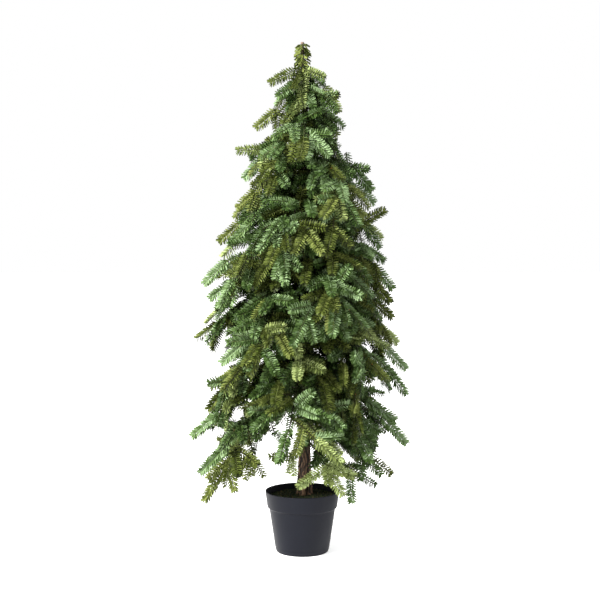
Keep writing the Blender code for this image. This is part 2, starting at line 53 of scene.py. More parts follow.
# Pot and filling, as in the solids
POT_HEIGHT = 0.1463
POT_RIM_RADIUS = 0.0882
POT_BAND_RADIUS = 0.0832
POT_BAND_LOW = 0.1080
POT_STEP_RADIUS = 0.0772
POT_STEP_LOW = 0.0946
POT_CORNER_RADIUS = 0.0640
POT_CORNER_HEIGHT = 0.0070
POT_FOOT_RADIUS = 0.0597
POT_WALL = 0.0026
POT_FLOOR = 0.0040
SOIL_HEIGHT = 0.1370
SOIL_EDGE_HEIGHT = 0.1310
# Finer than in the solids: the ledge under the pot's band, rounded edges, and steps round the pot
POT_LEDGE_RADIUS = 0.0783
POT_LEDGE_LOW = 0.1042
LIP_ROUNDING = 0.0004
LEDGE_ROUNDING = 0.0010
POT_STEPS = 128
SHARP_ANGLE = radians(35)
# Dome of the moss on the filling, with a cut edge and low hummocks
MOSS_DOME = ((0.0, SOIL_HEIGHT), (0.024, SOIL_HEIGHT), (0.056, 0.1348), (0.080, SOIL_EDGE_HEIGHT))
SOIL_BEVEL = 0.003
SOIL_RINGS = 30
HUMMOCK_HEIGHT = 0.0009
HUMMOCK_START = 0.02
# Waves of the hummocks: share of their height, and pace and shift of each wave across and along
HUMMOCK_WAVES = ((1.0, 95, 1.3, 88, 0.4), (0.6, 190, 2.0, 171, 0.0))
# Fronds of moss: how many, how far out, how deep their feet stand, how much they lean, their sizes
FROND_COUNT = 5200
FROND_REACH = 0.079
FROND_DEPTH = 0.0008
FROND_LEAN = 0.7
FROND_HEIGHTS = (0.0025, 0.0055)
FROND_WIDTHS = (0.0004, 0.0009)
FROND_DROOP = 0.0012
FROND_FACES = np.array(((0, 1, 3), (0, 3, 2), (2, 3, 4)))
# Colours of the fronds, and the share of each
FROND_LOOKS = {"green": ((0.022, 0.034, 0.011), 0.55), "dark": ((0.008, 0.013, 0.007), 0.30),
               "brown": ((0.075, 0.055, 0.022), 0.15)}

# Trunk, as in the solids: its radius at a height, and how far its centre stands towards +X
TRUNK_FOOT = SOIL_HEIGHT + GAP
TRUNK_TOP = 1.1180
TRUNK_RADII = ((0.137, 0.0180), (0.148, 0.0160), (0.170, 0.0146), (0.190, 0.0132),
               (0.400, 0.0105), (1.050, 0.0045), (1.128, 0.0028))
TRUNK_OFFSETS = ((0.137, 0.0050), (1.050, 0.0070), (1.128, 0.0010), (1.140, 0.0000))
# Finer than in the solids: sides of its mesh, rings in its flare and above, and the flare's
# strands with the gaps between them
TRUNK_SIDES = 112
TRUNK_RINGS = (70, 190)
FLARE_LOBES = 4
FLARE_TOP = 0.260
FLARE_TWIST = 0.3
FLARE_SPREAD = 0.20
FLARE_GAP = 0.0050
# How far the bark stands proud of the solid, and its waves: how many, how deep and how wavering
BARK_SWELL = ((0.137, 0.0), (0.170, 0.0012), (0.400, 0.0012), (0.600, 0.0))
BARK_WAVES = ((5, 0.0014, 0.9), (9, 0.0012, 1.2), (15, 0.0008, 1.6), (27, 0.0003, 2.2))
BARK_FULL_RADIUS = 0.012
BARK_STRETCH = (1, 1, 0.10)
BARK_WAVERS = (0.31, 0.12, 0.05)
BARK_SWELLS = (0.09, 0.023)
# Where furrows turn to ridges and ridges to strands, and how gaps and strands of the flare count; the
# dark furrows and gaps are partly the bark's own colour and partly painted shade in the recesses
BARK_STEPS = (-0.4, 0.9)
GAP_SHADE = 5.0
STRAND_SHADE = 1.3

# Limbs, as in the solids
MASS_COUNT = 30
BOUGH_COUNT = 22
FIRST_AZIMUTH = radians(300)
LOWEST_TIP = 0.155
HIGHEST_TIP = 1.070
TIP_GAP_LOW = 0.034
TIP_GAP_HIGH = 0.026
TIP_SHIFT = 0.010
AZIMUTH_SHIFT = 0.16
ARM_SHARE = (0.74, 0.84)
DROP_LOW = 0.78
DROP_HIGH = 0.50
DROP_SPREAD = (0.85, 1.15)
KNEE_REACH = 0.55
KNEE_DROP = 0.22
KNEE_SWAY = 0.10
BOUGH_END = 0.30
SPACE_START = 0.10
SPACE_BEYOND = 0.060
# Thinner than in the solids: boughs, and the stems that run on from them, with sides and rings of
# their mesh and the waves of their bark
BOUGH_RADIUS = 0.0033
STEM_RADII = (0.0022, 0.0012)
BOUGH_SIDES = 10
BOUGH_POINTS = 26
BOUGH_WAVES = ((3, 0.0004, 1.5), (5, 0.0003, 2.0))

# Crown outline, as in the solids: height and reach from the axis, seen from the front
LEFT_REACH = ((0.12, 0.246), (0.20, 0.252), (0.27, 0.268), (0.345, 0.244), (0.485, 0.264),
              (0.55, 0.245), (0.64, 0.240), (0.735, 0.205), (0.82, 0.162), (0.955, 0.158),
              (1.00, 0.114), (1.11, 0.082), (1.16, 0.048))
RIGHT_REACH = ((0.12, 0.128), (0.18, 0.214), (0.26, 0.257), (0.32, 0.236), (0.42, 0.257),
               (0.55, 0.228), (0.63, 0.224), (0.75, 0.206), (0.83, 0.190), (0.91, 0.163),
               (1.00, 0.112), (1.12, 0.066), (1.16, 0.048))
CROWN_TOP = 1.155
# Lowest height of the foliage by its distance from the axis, and how much higher it is in front
# and at the back: less at the back right
LEFT_SKIRT = ((0.02, 0.320), (0.05, 0.300), (0.09, 0.275), (0.12, 0.225), (0.15, 0.170),
              (0.21, 0.122))
RIGHT_SKIRT = ((0.02, 0.300), (0.05, 0.250), (0.09, 0.220), (0.15, 0.175), (0.21, 0.135))
SKIRT_LIFTS = (0.045, 0.130)
SKIRT_BACK = -0.02
# Sprays that stand out at the left and right of the crown: height and reach of each tip, and
# its slope below the horizontal in degrees. Above a tip the outline draws in gently, and below
# it steeply, to a little inside the reach between tips.
LEFT_TIPS = ((0.205, 0.233, 45), (0.287, 0.254, 40), (0.351, 0.221, 45), (0.397, 0.210, 35),
             (0.497, 0.250, 38), (0.541, 0.231, 40), (0.611, 0.210, 35), (0.648, 0.224, 42),
             (0.700, 0.182, 50), (0.736, 0.190, 45), (0.796, 0.156, 50), (0.820, 0.150, 40),
             (0.884, 0.133, 50), (0.949, 0.146, 4), (1.001, 0.103, 45))
RIGHT_TIPS = ((0.271, 0.243, 45), (0.325, 0.216, 30), (0.392, 0.239, 50), (0.432, 0.240, 50),
              (0.495, 0.226, 40), (0.556, 0.209, 45), (0.602, 0.200, 48), (0.633, 0.209, 48),
              (0.699, 0.190, 27), (0.724, 0.182, 55), (0.748, 0.190, 33), (0.815, 0.187, -35),
              (0.831, 0.170, 35), (0.860, 0.158, 48), (0.913, 0.149, -4), (0.990, 0.084, 50),
              (1.010, 0.097, 30), (1.043, 0.084, 57), (1.083, 0.079, -12), (1.122, 0.053, 14))
# Deep notches between some of the tips: from which height to which, and the reach there
LEFT_NOTCHES = ((0.245, 0.272, 0.203), (0.430, 0.474, 0.180), (0.626, 0.636, 0.194))
RIGHT_NOTCHES = ((0.176, 0.190, 0.166), (0.246, 0.264, 0.172), (0.298, 0.316, 0.200),
                 (0.358, 0.376, 0.182), (0.572, 0.582, 0.180), (0.680, 0.690, 0.162),
                 (0.924, 0.968, 0.084))
TIP_SLOPES = (1.0, 2.2)
TIP_RECESS = 0.028
TIP_TURN = 0.30
TIP_CHOICES = 13
TIP_LENGTHS = (1.0, 1.12)
# Fans that stand out from the rest: tint, how much darker than the rest in painted shade, or lighter
# in painted light where below zero, joint, and the tips of the sprays there
CLEAR_FANS = (
    ("olive", -0.16, (-0.179, -0.020, 0.221), (-0.228, -0.030, 0.131), (-0.155, -0.050, 0.160),
     (-0.222, -0.040, 0.185)),
    ("olive", -0.16, (-0.115, -0.060, 0.236), (-0.134, -0.070, 0.190), (-0.092, -0.080, 0.200),
     (-0.117, -0.085, 0.204)),
    ("pale", -0.10, (-0.022, -0.045, 0.237), (-0.072, -0.065, 0.239), (-0.066, -0.050, 0.230),
     (-0.022, -0.055, 0.195), (-0.032, -0.045, 0.198)),
    ("pale", -0.30, (0.057, -0.073, 0.218), (-0.002, -0.115, 0.184), (0.090, -0.105, 0.160),
     (0.118, -0.120, 0.210)),
    ("pale", -0.20, (0.057, -0.085, 0.226), (0.060, -0.150, 0.200), (0.095, -0.140, 0.222)),
    ("blue_green", -0.04, (0.112, -0.030, 0.186), (0.116, -0.035, 0.126)),
    ("blue_green", -0.04, (0.131, -0.020, 0.189), (0.171, -0.030, 0.165)),
    ("blue_green", 0.05, (0.140, -0.050, 0.235), (0.184, -0.060, 0.200), (0.140, -0.070, 0.188)),
    ("olive", -0.10, (0.168, -0.030, 0.226), (0.205, -0.050, 0.198)),
    ("blue_green", -0.04, (-0.065, -0.080, 0.304), (-0.036, -0.090, 0.269)),
    ("blue_green", 0.05, (0.045, -0.030, 0.270), (0.030, -0.045, 0.212), (0.070, -0.045, 0.222)),
    ("blue_green", 0.05, (0.060, 0.030, 0.262), (0.028, 0.030, 0.205), (0.082, 0.030, 0.190)),
    ("blue_green", -0.20, (0.005, -0.035, 1.024), (0.045, -0.080, 1.044)),
    ("blue_green", -0.15, (-0.013, -0.025, 1.103), (-0.054, -0.055, 1.077)),
    ("blue_green", 0.00, (0.045, -0.020, 1.076), (0.077, -0.030, 1.083), (0.076, -0.045, 1.044)),
    ("pale", 0.10, (0.010, -0.010, 1.135), (0.049, -0.030, 1.120)),
    ("olive", -0.10, (-0.016, -0.008, 1.136), (-0.072, -0.020, 1.106)),
)
# Gaps that show sky from the front: place across and up, in the plane of the trunk, and how far
# off the stems of the sprays stay
SKY_GAPS = ((-0.142, 0.718, 0.012), (-0.139, 0.606, 0.012), (0.142, 0.737, 0.011),
            (-0.096, 0.455, 0.013), (-0.071, 0.478, 0.012), (0.036, 0.474, 0.012),
            (0.092, 0.459, 0.012), (0.153, 0.493, 0.013),
            (-0.131, 0.406, 0.010), (-0.131, 0.362, 0.010), (-0.163, 0.327, 0.010),
            (-0.029, 0.304, 0.017), (-0.060, 0.262, 0.016), (0.028, 0.236, 0.015),
            (-0.190, 0.512, 0.012), (-0.200, 0.484, 0.011), (0.180, 0.405, 0.012),
            (-0.201, 0.358, 0.010), (-0.145, 0.221, 0.012), (0.193, 0.277, 0.011),
            (-0.181, 0.648, 0.010), (-0.105, 0.255, 0.011), (-0.178, 0.572, 0.010),
            (0.167, 0.484, 0.010), (-0.080, 0.282, 0.010), (0.121, 0.830, 0.009),
            (-0.098, 0.897, 0.009), (0.104, 0.931, 0.009), (0.071, 1.045, 0.008))

# Growth: sprays low in the crown and at its top, twigs, and the crowding of each round
SPRAY_LENGTHS = (0.082, 0.062)
SPRAY_HEIGHTS = (0.25, 1.00)
SPRAY_GIRTH = 0.076
SPRAY_GIRTH_SHARE = 1.5
SPRAY_HALF_WIDTH = 0.014
MIDLINE_SHARES = np.linspace(0.2, 1.0, 5)
AIM_SPREAD = 0.16
END_LENGTHS = (0.92, 1.10)
# How much reach counts against room where a spray has a choice
REACH_SCORE = 0.1
# Angle of a spray below the horizontal, and how far it follows its twig instead
SPRAY_SLOPES = (radians(42), radians(15))
SLOPE_FOLLOW = 0.35
ROLL_SPREAD = 0.60
# How much the upper sides of the sprays face up, to one part outward, and how they face at the
# outline
FLAT_RISE = 0.7
FRONT_FLAT = (0.0, -0.8, 0.6)
FRONT_SPREAD = 0.25
TWIG_STEP = 0.012
TWIG_STEPS = 13
TWIG_DROOP = 0.045
TWIG_SPACING = 0.010
TWIG_SHIFTS = (0.2, 0.8)
TWIG_YAWS = (35, 75)
TWIG_RADII = (0.0014, 0.0010)
# Where on a mass's stem a twig to a placed spray may start, and how far before that spray's root
# the nearest such place is looked for
STEM_PLACES = np.linspace(SPACE_START, 0.96, 24)
TWIG_APPROACH = 0.02
JOINT_SPACING = 0.036
JOINT_OVERLAP = 1.1
COVER_START = 0.15
# Where the stem of a mass may end, and its end spray: crowding, tries and lean into other spaces
STEM_ENDS = (1.0, 0.6, -0.04)
END_SPRAY = (0.008, 6, 0.06)
SPRAY_YAWS = (38, 60)
SIDE_LENGTHS = (0.74, 0.90)
SIDE_TRIES = 5
SIDE_CROWDING = 0.80
SIDE_DROOP = 0.22
FAN_SPREAD = 0.09
CLEAR_DROOP = 0.02
CROWDING = (0.021, 0.0165, 0.0140)
ROUND_DEPTHS = (1.0, 0.93, 0.80)
# The lowest masses are thinner, with sky between their sprays
OPEN_COUNT = 8
OPEN_CROWDING = 1.8
# Sprays that stand on the trunk itself, between the masses
TRUNK_SPRAYS = (0.42, 1.060, 0.0085)
TRUNK_SLOPES = (radians(15), radians(60))
TRUNK_TURN = 0.3
TRUNK_TWIG = 0.04
TRUNK_CROWDING = 0.013
TRIES = 3
ROOM_SEARCH = 0.06
# How far a spray may lean into the next mass's space, and stay clear of the trunk
INTRUSION = 0.030
TRUNK_MARGIN = 0.006

# Leader and the whorl of sprays at its foot
WHORL_COUNT = 38
WHORL_HEIGHTS = (1.138, 1.040)
WHORL_SLOPES = (radians(12), radians(58))
WHORL_SPREAD = 0.026
WHORL_LENGTHS = (0.052, 0.064)
WHORL_ROLL_SPREAD = 0.5
WHORL_RISE = 0.004
LEADER_FOOT = 1.146
LEADER_TIERS = 9
LEADER_TOP_TIER = TREE_HEIGHT - 0.004
LEADER_NEEDLES = 13
LEADER_TURN = 0.2
LEADER_LENGTHS = (0.0185, 0.0205)
LEADER_LAST_SHARE = 0.85
LEADER_CURLS = (0.0, 0.12)
LEADER_WIDTHS = (0.0052, 0.0066)
LEADER_SLOPE = radians(30)
LEADER_SLOPE_SPREAD = 0.22
LEADER_ROLL = 0.7
LEADER_ROLL_SPREAD = 0.25
LEADER_SHIFT = 0.0010
LEADER_SHADES = (0.46, 0.16, 0.16, 0.13, 0.09)
LEADER_STEM = (0.0036, 0.0038)

# One spray: rows of needles along a stem of unit length, and the angles of a row's needles
# off the upper side, in degrees, for even and odd rows
TEMPLATE_COUNT = 5
ROW_PITCH = 0.0030
ROW_COUNTS = (8, 10, 12, 14, 16, 18, 20, 22, 24, 26, 28)
ROW_ANGLES = ((-94, -56, 22, 138), (94, 56, -22, -138))
ROW_SHARES = (0.05, 0.89)
ROW_SHIFT = 0.12
ANGLE_SHIFT = 5
TIP_NEEDLES = 7
TIP_SHARE = 0.96
SPRAY_SAGS = (-0.13, 0.05)
SPRAY_SWAY = 0.07
SPRIG_END = 0.97
SPRIG_RADII = (0.0013, 0.0008)
# Needles: length along the spray and by the angle, slope off the stem in degrees, width, where
# they bend, how far they curl, and how far their faces lean in towards the stem
NEEDLE_LENGTH = 0.228
NEEDLE_LENGTHS = (0.93, 1.06)
SHARE_LENGTHS = ((0.0, 0.70), (0.15, 1.0), (0.85, 0.96), (1.0, 0.74))
ANGLE_LENGTHS = ((12, 0.75), (52, 0.95), (92, 1.0), (146, 0.95))
NEEDLE_SWEEPS = ((0.0, 70), (0.2, 62), (0.8, 54), (0.95, 42), (1.0, 26))
SWEEP_SPREAD = 3
NEEDLE_WIDTH = 0.052
NEEDLE_WIDTHS = (0.85, 1.1)
NEEDLE_BEND = 0.42
NEEDLE_END = 0.32
NEEDLE_CURL = 0.09
NEEDLE_CURLS = (-0.3, 1.0)
NEEDLE_LEAN = 0.40
FACE_SPREAD = 0.15
NEEDLE_FACES = np.array(((0, 1, 4), (1, 2, 3), (1, 3, 4)))

# Tints of the needles: each family's light, mid and dark, with shades between them. They give random
# tone and also painted light and shade: lighter shades for needles that face up, darker ones under the
# stem and deep in the crown
SHADE_COUNT = 5
TINTS = {
    "blue_green": ((0.158, 0.230, 0.108), (0.042, 0.076, 0.017), (0.012, 0.026, 0.004)),
    "olive": ((0.120, 0.144, 0.036), (0.047, 0.064, 0.010), (0.016, 0.023, 0.004)),
    "pale": ((0.270, 0.330, 0.132), (0.135, 0.168, 0.050), (0.048, 0.067, 0.017)),
}
FAMILY_SHARES = (("blue_green", 0.56), ("olive", 0.36), ("pale", 0.08))
STRAY_SHARE = 0.18
# Painted shade: sprays deep inside the crown are darker, as shade falls there: share of the reach
# where that starts, and how much for each metre
PAINTED_SHADE_START = 0.80
PAINTED_DEPTH_SHADE = 2.6
# Shade by height, from 0 for light to 1 for dark, with painted light and shade that make some heights
# lighter or darker; how much it varies at random from spray to spray and from needle to needle; and
# painted light and shade round the stem, lighter on needles that face up and darker on those below
MEAN_AND_PAINTED_SHADES = ((0.18, 0.57), (0.39, 0.45), (0.61, 0.48), (0.87, 0.41), (1.10, 0.50))
SPRAY_SHADE = 0.24
NEEDLE_SHADE = 0.28
PAINTED_RISE_SHADE = 0.32
BUD_SHARE = 0.03
BUD_LENGTH = 0.004
BUD_RADIUS = 0.0015
BUD_PROFILE = (0.4, 1.0, 0.9, 0.3)
# Twigs, stems of sprays, the leader's cut end and buds: colour, roughness and gloss
TWIG_LOOKS = {"twig_brown": ((0.030, 0.024, 0.012), 0.7, 0.2),
              "spray_stem": ((0.035, 0.042, 0.010), 0.6, 0.2),
              "leader_stem": ((0.13, 0.085, 0.060), 0.6), "bud_brown": ((0.32, 0.10, 0.018), 0.6)}
# Most triangles in one piece of needles
PIECE_LIMIT = 185000

# Part of a noise over which a patterned colour runs
NOISE_RANGE = (0.32, 0.70)

# Camera: where the photograph was taken from
CAMERA_PLACE = (-0.0055, -3.494, 0.921)
CAMERA_PITCH = radians(5.24)
CAMERA_LENS = 89.56

# Stage: half the floor's width and its glow, and each light's place, size, power and colour
FLOOR_HALF = 9
FLOOR_GLOW = 0.50
LIGHT_AIM = (0.0, 0.0, 0.6)
LIGHTS = {"key": ((-2.9, -2.1, 2.8), 1.5, 640.0, (1.0, 0.985, 0.96)),
          "fill": ((2.4, -2.0, 1.4), 2.0, 6.0, (0.95, 0.98, 1.0))}


# Small vector helpers

def unit(vector):
    return vector / np.linalg.norm(vector)


def units(vectors):
    return vectors / np.linalg.norm(vectors, axis=-1, keepdims=True)


def drooped(vectors, amount):
    return units(vectors - UP * amount)


def sloped(vectors, slopes):
    """Unit vectors turned to slopes below the horizontal, each in its own direction."""
    flat = vectors[:, :2] / np.linalg.norm(vectors[:, :2], axis=1, keepdims=True)
    return np.column_stack([flat * np.cos(slopes)[:, None], -np.sin(slopes)])


def read_off(table, value):
    """Straight-line reading from a short table of pairs."""
    places, values = zip(*table)
    return np.interp(value, places, values)


def bend(ctrl, u):
    """Point of a quadratic curve."""
    return (1 - u) ** 2 * ctrl[0] + 2 * u * (1 - u) * ctrl[1] + u * u * ctrl[2]


def bend_heading(ctrl, u):
    return unit((1 - u) * (ctrl[1] - ctrl[0]) + u * (ctrl[2] - ctrl[1]))


def aimed(azimuth, slope=0.0):
    """Unit vector to an azimuth, at a slope below the horizontal."""
    return np.array((cos(azimuth) * cos(slope), sin(azimuth) * cos(slope), -sin(slope)))


def ring_angles(count):
    return np.arange(count) * 2 * pi / count


# Trunk line, crown outline and limbs, by the rule of the solids

def trunk_centre(height):
    return np.array((read_off(TRUNK_OFFSETS, height), 0.0, height))


def trunk_radius(height):
    return read_off(TRUNK_RADII, height)


def crown_reach(azimuth, height):
    """Reach of the crown, blended round from its right outline to its left one."""
    right_share = 0.5 + 0.5 * np.cos(azimuth)
    return read_off(RIGHT_REACH, height) * right_share + read_off(LEFT_REACH, height) * (1 - right_share)


def notched(reach, tips, notches, height):
    """An outline that runs out to each tip and draws in between them."""
    result = read_off(reach, height) - TIP_RECESS
    for tip_height, tip_reach, _ in tips:
        rise = height - tip_height
        result = np.maximum(result, tip_reach - np.where(rise > 0, TIP_SLOPES[0], -TIP_SLOPES[1]) * rise)
    for low, high, notch_reach in notches:
        result = np.where((height > low) & (height < high), np.minimum(result, notch_reach), result)
    return result


def spray_reach(azimuth, height):
    """Reach of the sprays: as the crown's, and notched towards its left and right outline."""
    sideways = np.cos(azimuth)
    close = np.where(sideways > 0, notched(RIGHT_REACH, RIGHT_TIPS, RIGHT_NOTCHES, height),
                     notched(LEFT_REACH, LEFT_TIPS, LEFT_NOTCHES, height))
    return crown_reach(azimuth, height) + (close - crown_reach(azimuth, height)) * sideways ** 4


def skirt_height(radius, x, y):
    """Lowest height of the foliage: higher in front and at the back, but less so at the back right."""
    low, high = SKIRT_LIFTS
    lift = np.where((x > 0) & (y > SKIRT_BACK), low, high)
    across, along = x / np.maximum(radius, 1e-6), y / np.maximum(radius, 1e-6)
    right_share = 0.5 + 0.5 * across
    right, left = read_off(RIGHT_SKIRT, radius), read_off(LEFT_SKIRT, radius)
    return right * right_share + left * (1 - right_share) + lift * along ** 2


def spray_length(height):
    low, high = SPRAY_HEIGHTS
    rise = np.clip((height - low) / (high - low), 0.0, 1.0)
    return SPRAY_LENGTHS[0] + (SPRAY_LENGTHS[1] - SPRAY_LENGTHS[0]) * rise


def plan_limbs():
    """Lines of all limbs, as a spiral of drooping quadratic curves from the bottom up."""
    rnd = Random(SEED)
    gaps = np.linspace(TIP_GAP_LOW, TIP_GAP_HIGH, MASS_COUNT - 1)
    stretch = (HIGHEST_TIP - LOWEST_TIP) / sum(gaps)
    limbs = []
    for index in range(MASS_COUNT):
        shift = rnd.uniform(-TIP_SHIFT, TIP_SHIFT) if index else 0.0
        tip_height = LOWEST_TIP + stretch * sum(gaps[:index]) + shift
        azimuth = FIRST_AZIMUTH + GOLDEN_ANGLE * index + rnd.uniform(-AZIMUTH_SHIFT, AZIMUTH_SHIFT)
        arm = crown_reach(azimuth, tip_height) * rnd.uniform(*ARM_SHARE)
        drop_share = DROP_LOW + (DROP_HIGH - DROP_LOW) * index / (MASS_COUNT - 1)
        drop = arm * drop_share * rnd.uniform(*DROP_SPREAD)
        outward = aimed(azimuth)
        sideways = np.cross(UP, outward) * rnd.uniform(-KNEE_SWAY, KNEE_SWAY)
        root = trunk_centre(tip_height + drop)
        knee = root + (outward * KNEE_REACH + sideways) * arm - UP * drop * KNEE_DROP
        tip = trunk_centre(tip_height) + outward * arm
        limbs.append((root, knee, tip))
    return limbs


def whorl_lines():
    """Root and tip of each spray in the whorl under the leader, further out from the top down."""
    rnd = Random(SEED)
    lines = []
    for place, height in enumerate(np.linspace(*WHORL_HEIGHTS, WHORL_COUNT)):
        azimuth = GOLDEN_ANGLE * place
        aim = aimed(azimuth, rnd.uniform(*WHORL_SLOPES))
        root = trunk_centre(height) + aimed(azimuth) * WHORL_SPREAD * place / WHORL_COUNT
        lines.append((root, root + aim * rnd.uniform(*WHORL_LENGTHS)))
    return lines


# Spaces of the masses

def blocks_sky(points):
    """Whether a spray at each point would close a gap, seen from where the photograph was taken."""
    sight = points - CAMERA_PLACE
    seen = CAMERA_PLACE + sight * (-CAMERA_PLACE[1] / sight[..., 1:2])
    off = seen[..., None, [0, 2]] - np.array(SKY_GAPS)[:, :2]
    return (np.linalg.norm(off, axis=-1) < np.array(SKY_GAPS)[:, 2]).any(-1)


class Crown:
    """Each mass owns what lies nearest to its own stem line, and may lean a little past it."""

    def __init__(self, limbs):
        self.midlines = np.zeros((0, 3))
        self.depth = 1.0
        pieces = []
        for index, limb in enumerate(limbs):
            line = [bend(limb, u) for u in np.linspace(SPACE_START, 1.0, 9)]
            line.append(line[-1] + bend_heading(limb, 1.0) * SPACE_BEYOND)
            pieces += [(a, b, index) for a, b in zip(line[:-1], line[1:])]
        pieces += [(root, tip, MASS_COUNT) for root, tip in whorl_lines()]
        self.starts, self.ends, self.owner = [np.array(column) for column in zip(*pieces)]

    def distances(self, points):
        """Distance of each point to each straight piece of the stem lines."""
        run = self.ends - self.starts
        along = (points @ run.T - (self.starts * run).sum(1)) / (run * run).sum(1)
        nearest = self.starts + np.clip(along, 0, 1)[..., None] * run
        return np.linalg.norm(points[:, None, :] - nearest, axis=2)

    def holds(self, samples, index, intrusion, leafy=True):
        """For each group of points, whether it lies in the crown and in the mass's own space."""
        count = len(samples)
        points = samples.reshape(-1, 3)
        x, y, z = points.T
        radius = np.hypot(x, y)
        inside = (z < CROWN_TOP) & (radius < spray_reach(np.arctan2(y, x), z) * self.depth)
        inside &= z > skirt_height(radius, x, y)
        bark = np.hypot(x - read_off(TRUNK_OFFSETS, z), y) - trunk_radius(z)
        inside &= (bark > TRUNK_MARGIN) | (z > TRUNK_TOP)
        if leafy:
            inside &= ~blocks_sky(points)
        inside = inside.reshape(count, -1).all(1)
        if inside.any():
            away = self.distances(samples[inside].reshape(-1, 3))
            own = away[:, self.owner == index].min(1)
            others = away[:, self.owner != index].min(1)
            kept = (own < others + intrusion).reshape(inside.sum(), -1).all(1)
            inside[inside] = kept
        return inside

    def room(self, midlines):
        """Distance of each midline to the sprays that stand already."""
        if not len(self.midlines):
            return np.ones(len(midlines))
        low = midlines.min((0, 1)) - ROOM_SEARCH
        high = midlines.max((0, 1)) + ROOM_SEARCH
        near = self.midlines[((self.midlines > low) & (self.midlines < high)).all(1)]
        if not len(near):
            return np.full(len(midlines), ROOM_SEARCH)
        points = midlines.reshape(-1, 3)
        steps = (points ** 2).sum(1)[:, None] + (near ** 2).sum(1) - 2 * points @ near.T
        return np.sqrt(np.maximum(steps, 0)).reshape(len(midlines), -1).min(1)

    def add(self, midline):
        self.midlines = np.vstack([self.midlines, midline])


# Growth of the masses

def square_to(vectors, axes):
    """Unit vectors with what runs along the axes taken out."""
    return units(vectors - axes * (vectors * axes).sum(-1, keepdims=True))


def flats_of(axes, roots, rolls):
    """Upper sides of sprays, which face up and out of the crown and are rolled about the axes."""
    outward = units(roots * (1, 1, 0) + axes * (0.001, 0.001, 0))
    flats = square_to(outward + UP * FLAT_RISE, axes)
    return flats * np.cos(rolls)[:, None] + np.cross(flats, axes) * np.sin(rolls)[:, None]


def rolled_flat(rng, root, tip, spread):
    """Upper side of one spray from its root to its tip."""
    return flats_of(unit(tip - root)[None], root[None], rng.normal(0, spread, 1))[0]


def front_flat(rng, axis):
    """Upper side of a spray at the outline: it faces the front."""
    return square_to(FRONT_FLAT + rng.normal(0, FRONT_SPREAD, 3), axis)


def best_spray(crown, roots, axes, flats, lengths, index, crowding, clear_from=1, intrusion=INTRUSION):
    """The best of the given choices of a spray: where there is room, and far out."""
    midlines = roots[:, None] + axes[:, None] * (lengths[:, None] * MIDLINE_SHARES)[..., None]
    sides = np.cross(flats, axes) * SPRAY_HALF_WIDTH
    tips = midlines[:, 3:]
    samples = np.concatenate([midlines, tips + sides[:, None], tips - sides[:, None]], axis=1)
    room = crown.room(midlines[:, clear_from:])
    good = room >= crowding
    if good.any():
        good[good] = crown.holds(samples[good], index, intrusion)
    if not good.any():
        return None
    score = room + REACH_SCORE * np.hypot(midlines[:, -1, 0], midlines[:, -1, 1])
    score[~good] = -1
    pick = int(score.argmax())
    return {"place": pick, "root": roots[pick], "axis": axes[pick], "flat": flats[pick],
            "length": lengths[pick], "midline": midlines[pick]}


def end_spray(crown, rng, points, headings, index, crowding, tries, intrusion=INTRUSION):
    """The best spray at the end of a twig, which may end at any of the points."""
    roots, headings = np.repeat(points, tries, axis=0), np.repeat(headings, tries, axis=0)
    count = len(roots)
    axes = units(headings + rng.normal(0, AIM_SPREAD, (count, 3)))
    slopes = rng.normal(*SPRAY_SLOPES, count)
    axes = sloped(axes, slopes + SLOPE_FOLLOW * (np.arcsin(-axes[:, 2]) - slopes))
    flats = flats_of(axes, roots, rng.normal(0, ROLL_SPREAD, count))
    lengths = spray_length(roots[:, 2]) * rng.uniform(*END_LENGTHS, count)
    found = best_spray(crown, roots, axes, flats, lengths, index, crowding, 1, intrusion)
    if found:
        found["place"] //= tries
    return found


def side_spray(crown, rng, root, ahead, flat, side, index, crowding):
    """The best spray to one side of a twig, in the plane of the fan that the twig carries."""
    yaws = np.radians(rng.uniform(*SPRAY_YAWS, SIDE_TRIES))[:, None]
    across = np.cross(ahead, flat) * side
    axes = ahead * np.cos(yaws) + across * np.sin(yaws) - UP * SIDE_DROOP
    axes = units(axes + rng.normal(0, FAN_SPREAD, (SIDE_TRIES, 3)))
    flats = square_to(flat + rng.normal(0, FAN_SPREAD, (SIDE_TRIES, 3)), axes)
    lengths = spray_length(root[2]) * rng.uniform(*SIDE_LENGTHS, SIDE_TRIES)
    return best_spray(crown, np.tile(root, (SIDE_TRIES, 1)), axes, flats, lengths, index, crowding, 2)


def walk_twig(crown, base, heading, index):
    """Points and headings of a twig from its base, drooping, until it would leave its space."""
    points, headings = [base], [heading]
    for _ in range(TWIG_STEPS):
        point = points[-1] + headings[-1] * TWIG_STEP
        if not crown.holds(point[None, None], index, 0.0, False)[0]:
            break
        points.append(point)
        headings.append(drooped(headings[-1], TWIG_DROOP))
    return np.array(points), np.array(headings)


def grow_twig(crown, rng, base, heading, index, crowding, mass):
    """A twig with its end spray and the fan of sprays behind it."""
    points, headings = walk_twig(crown, base, heading, index)
    end = end_spray(crown, rng, points, headings, index, crowding, TRIES)
    if end:
        grow_fan(crown, rng, points[:end["place"] + 1], end, crowding, mass)


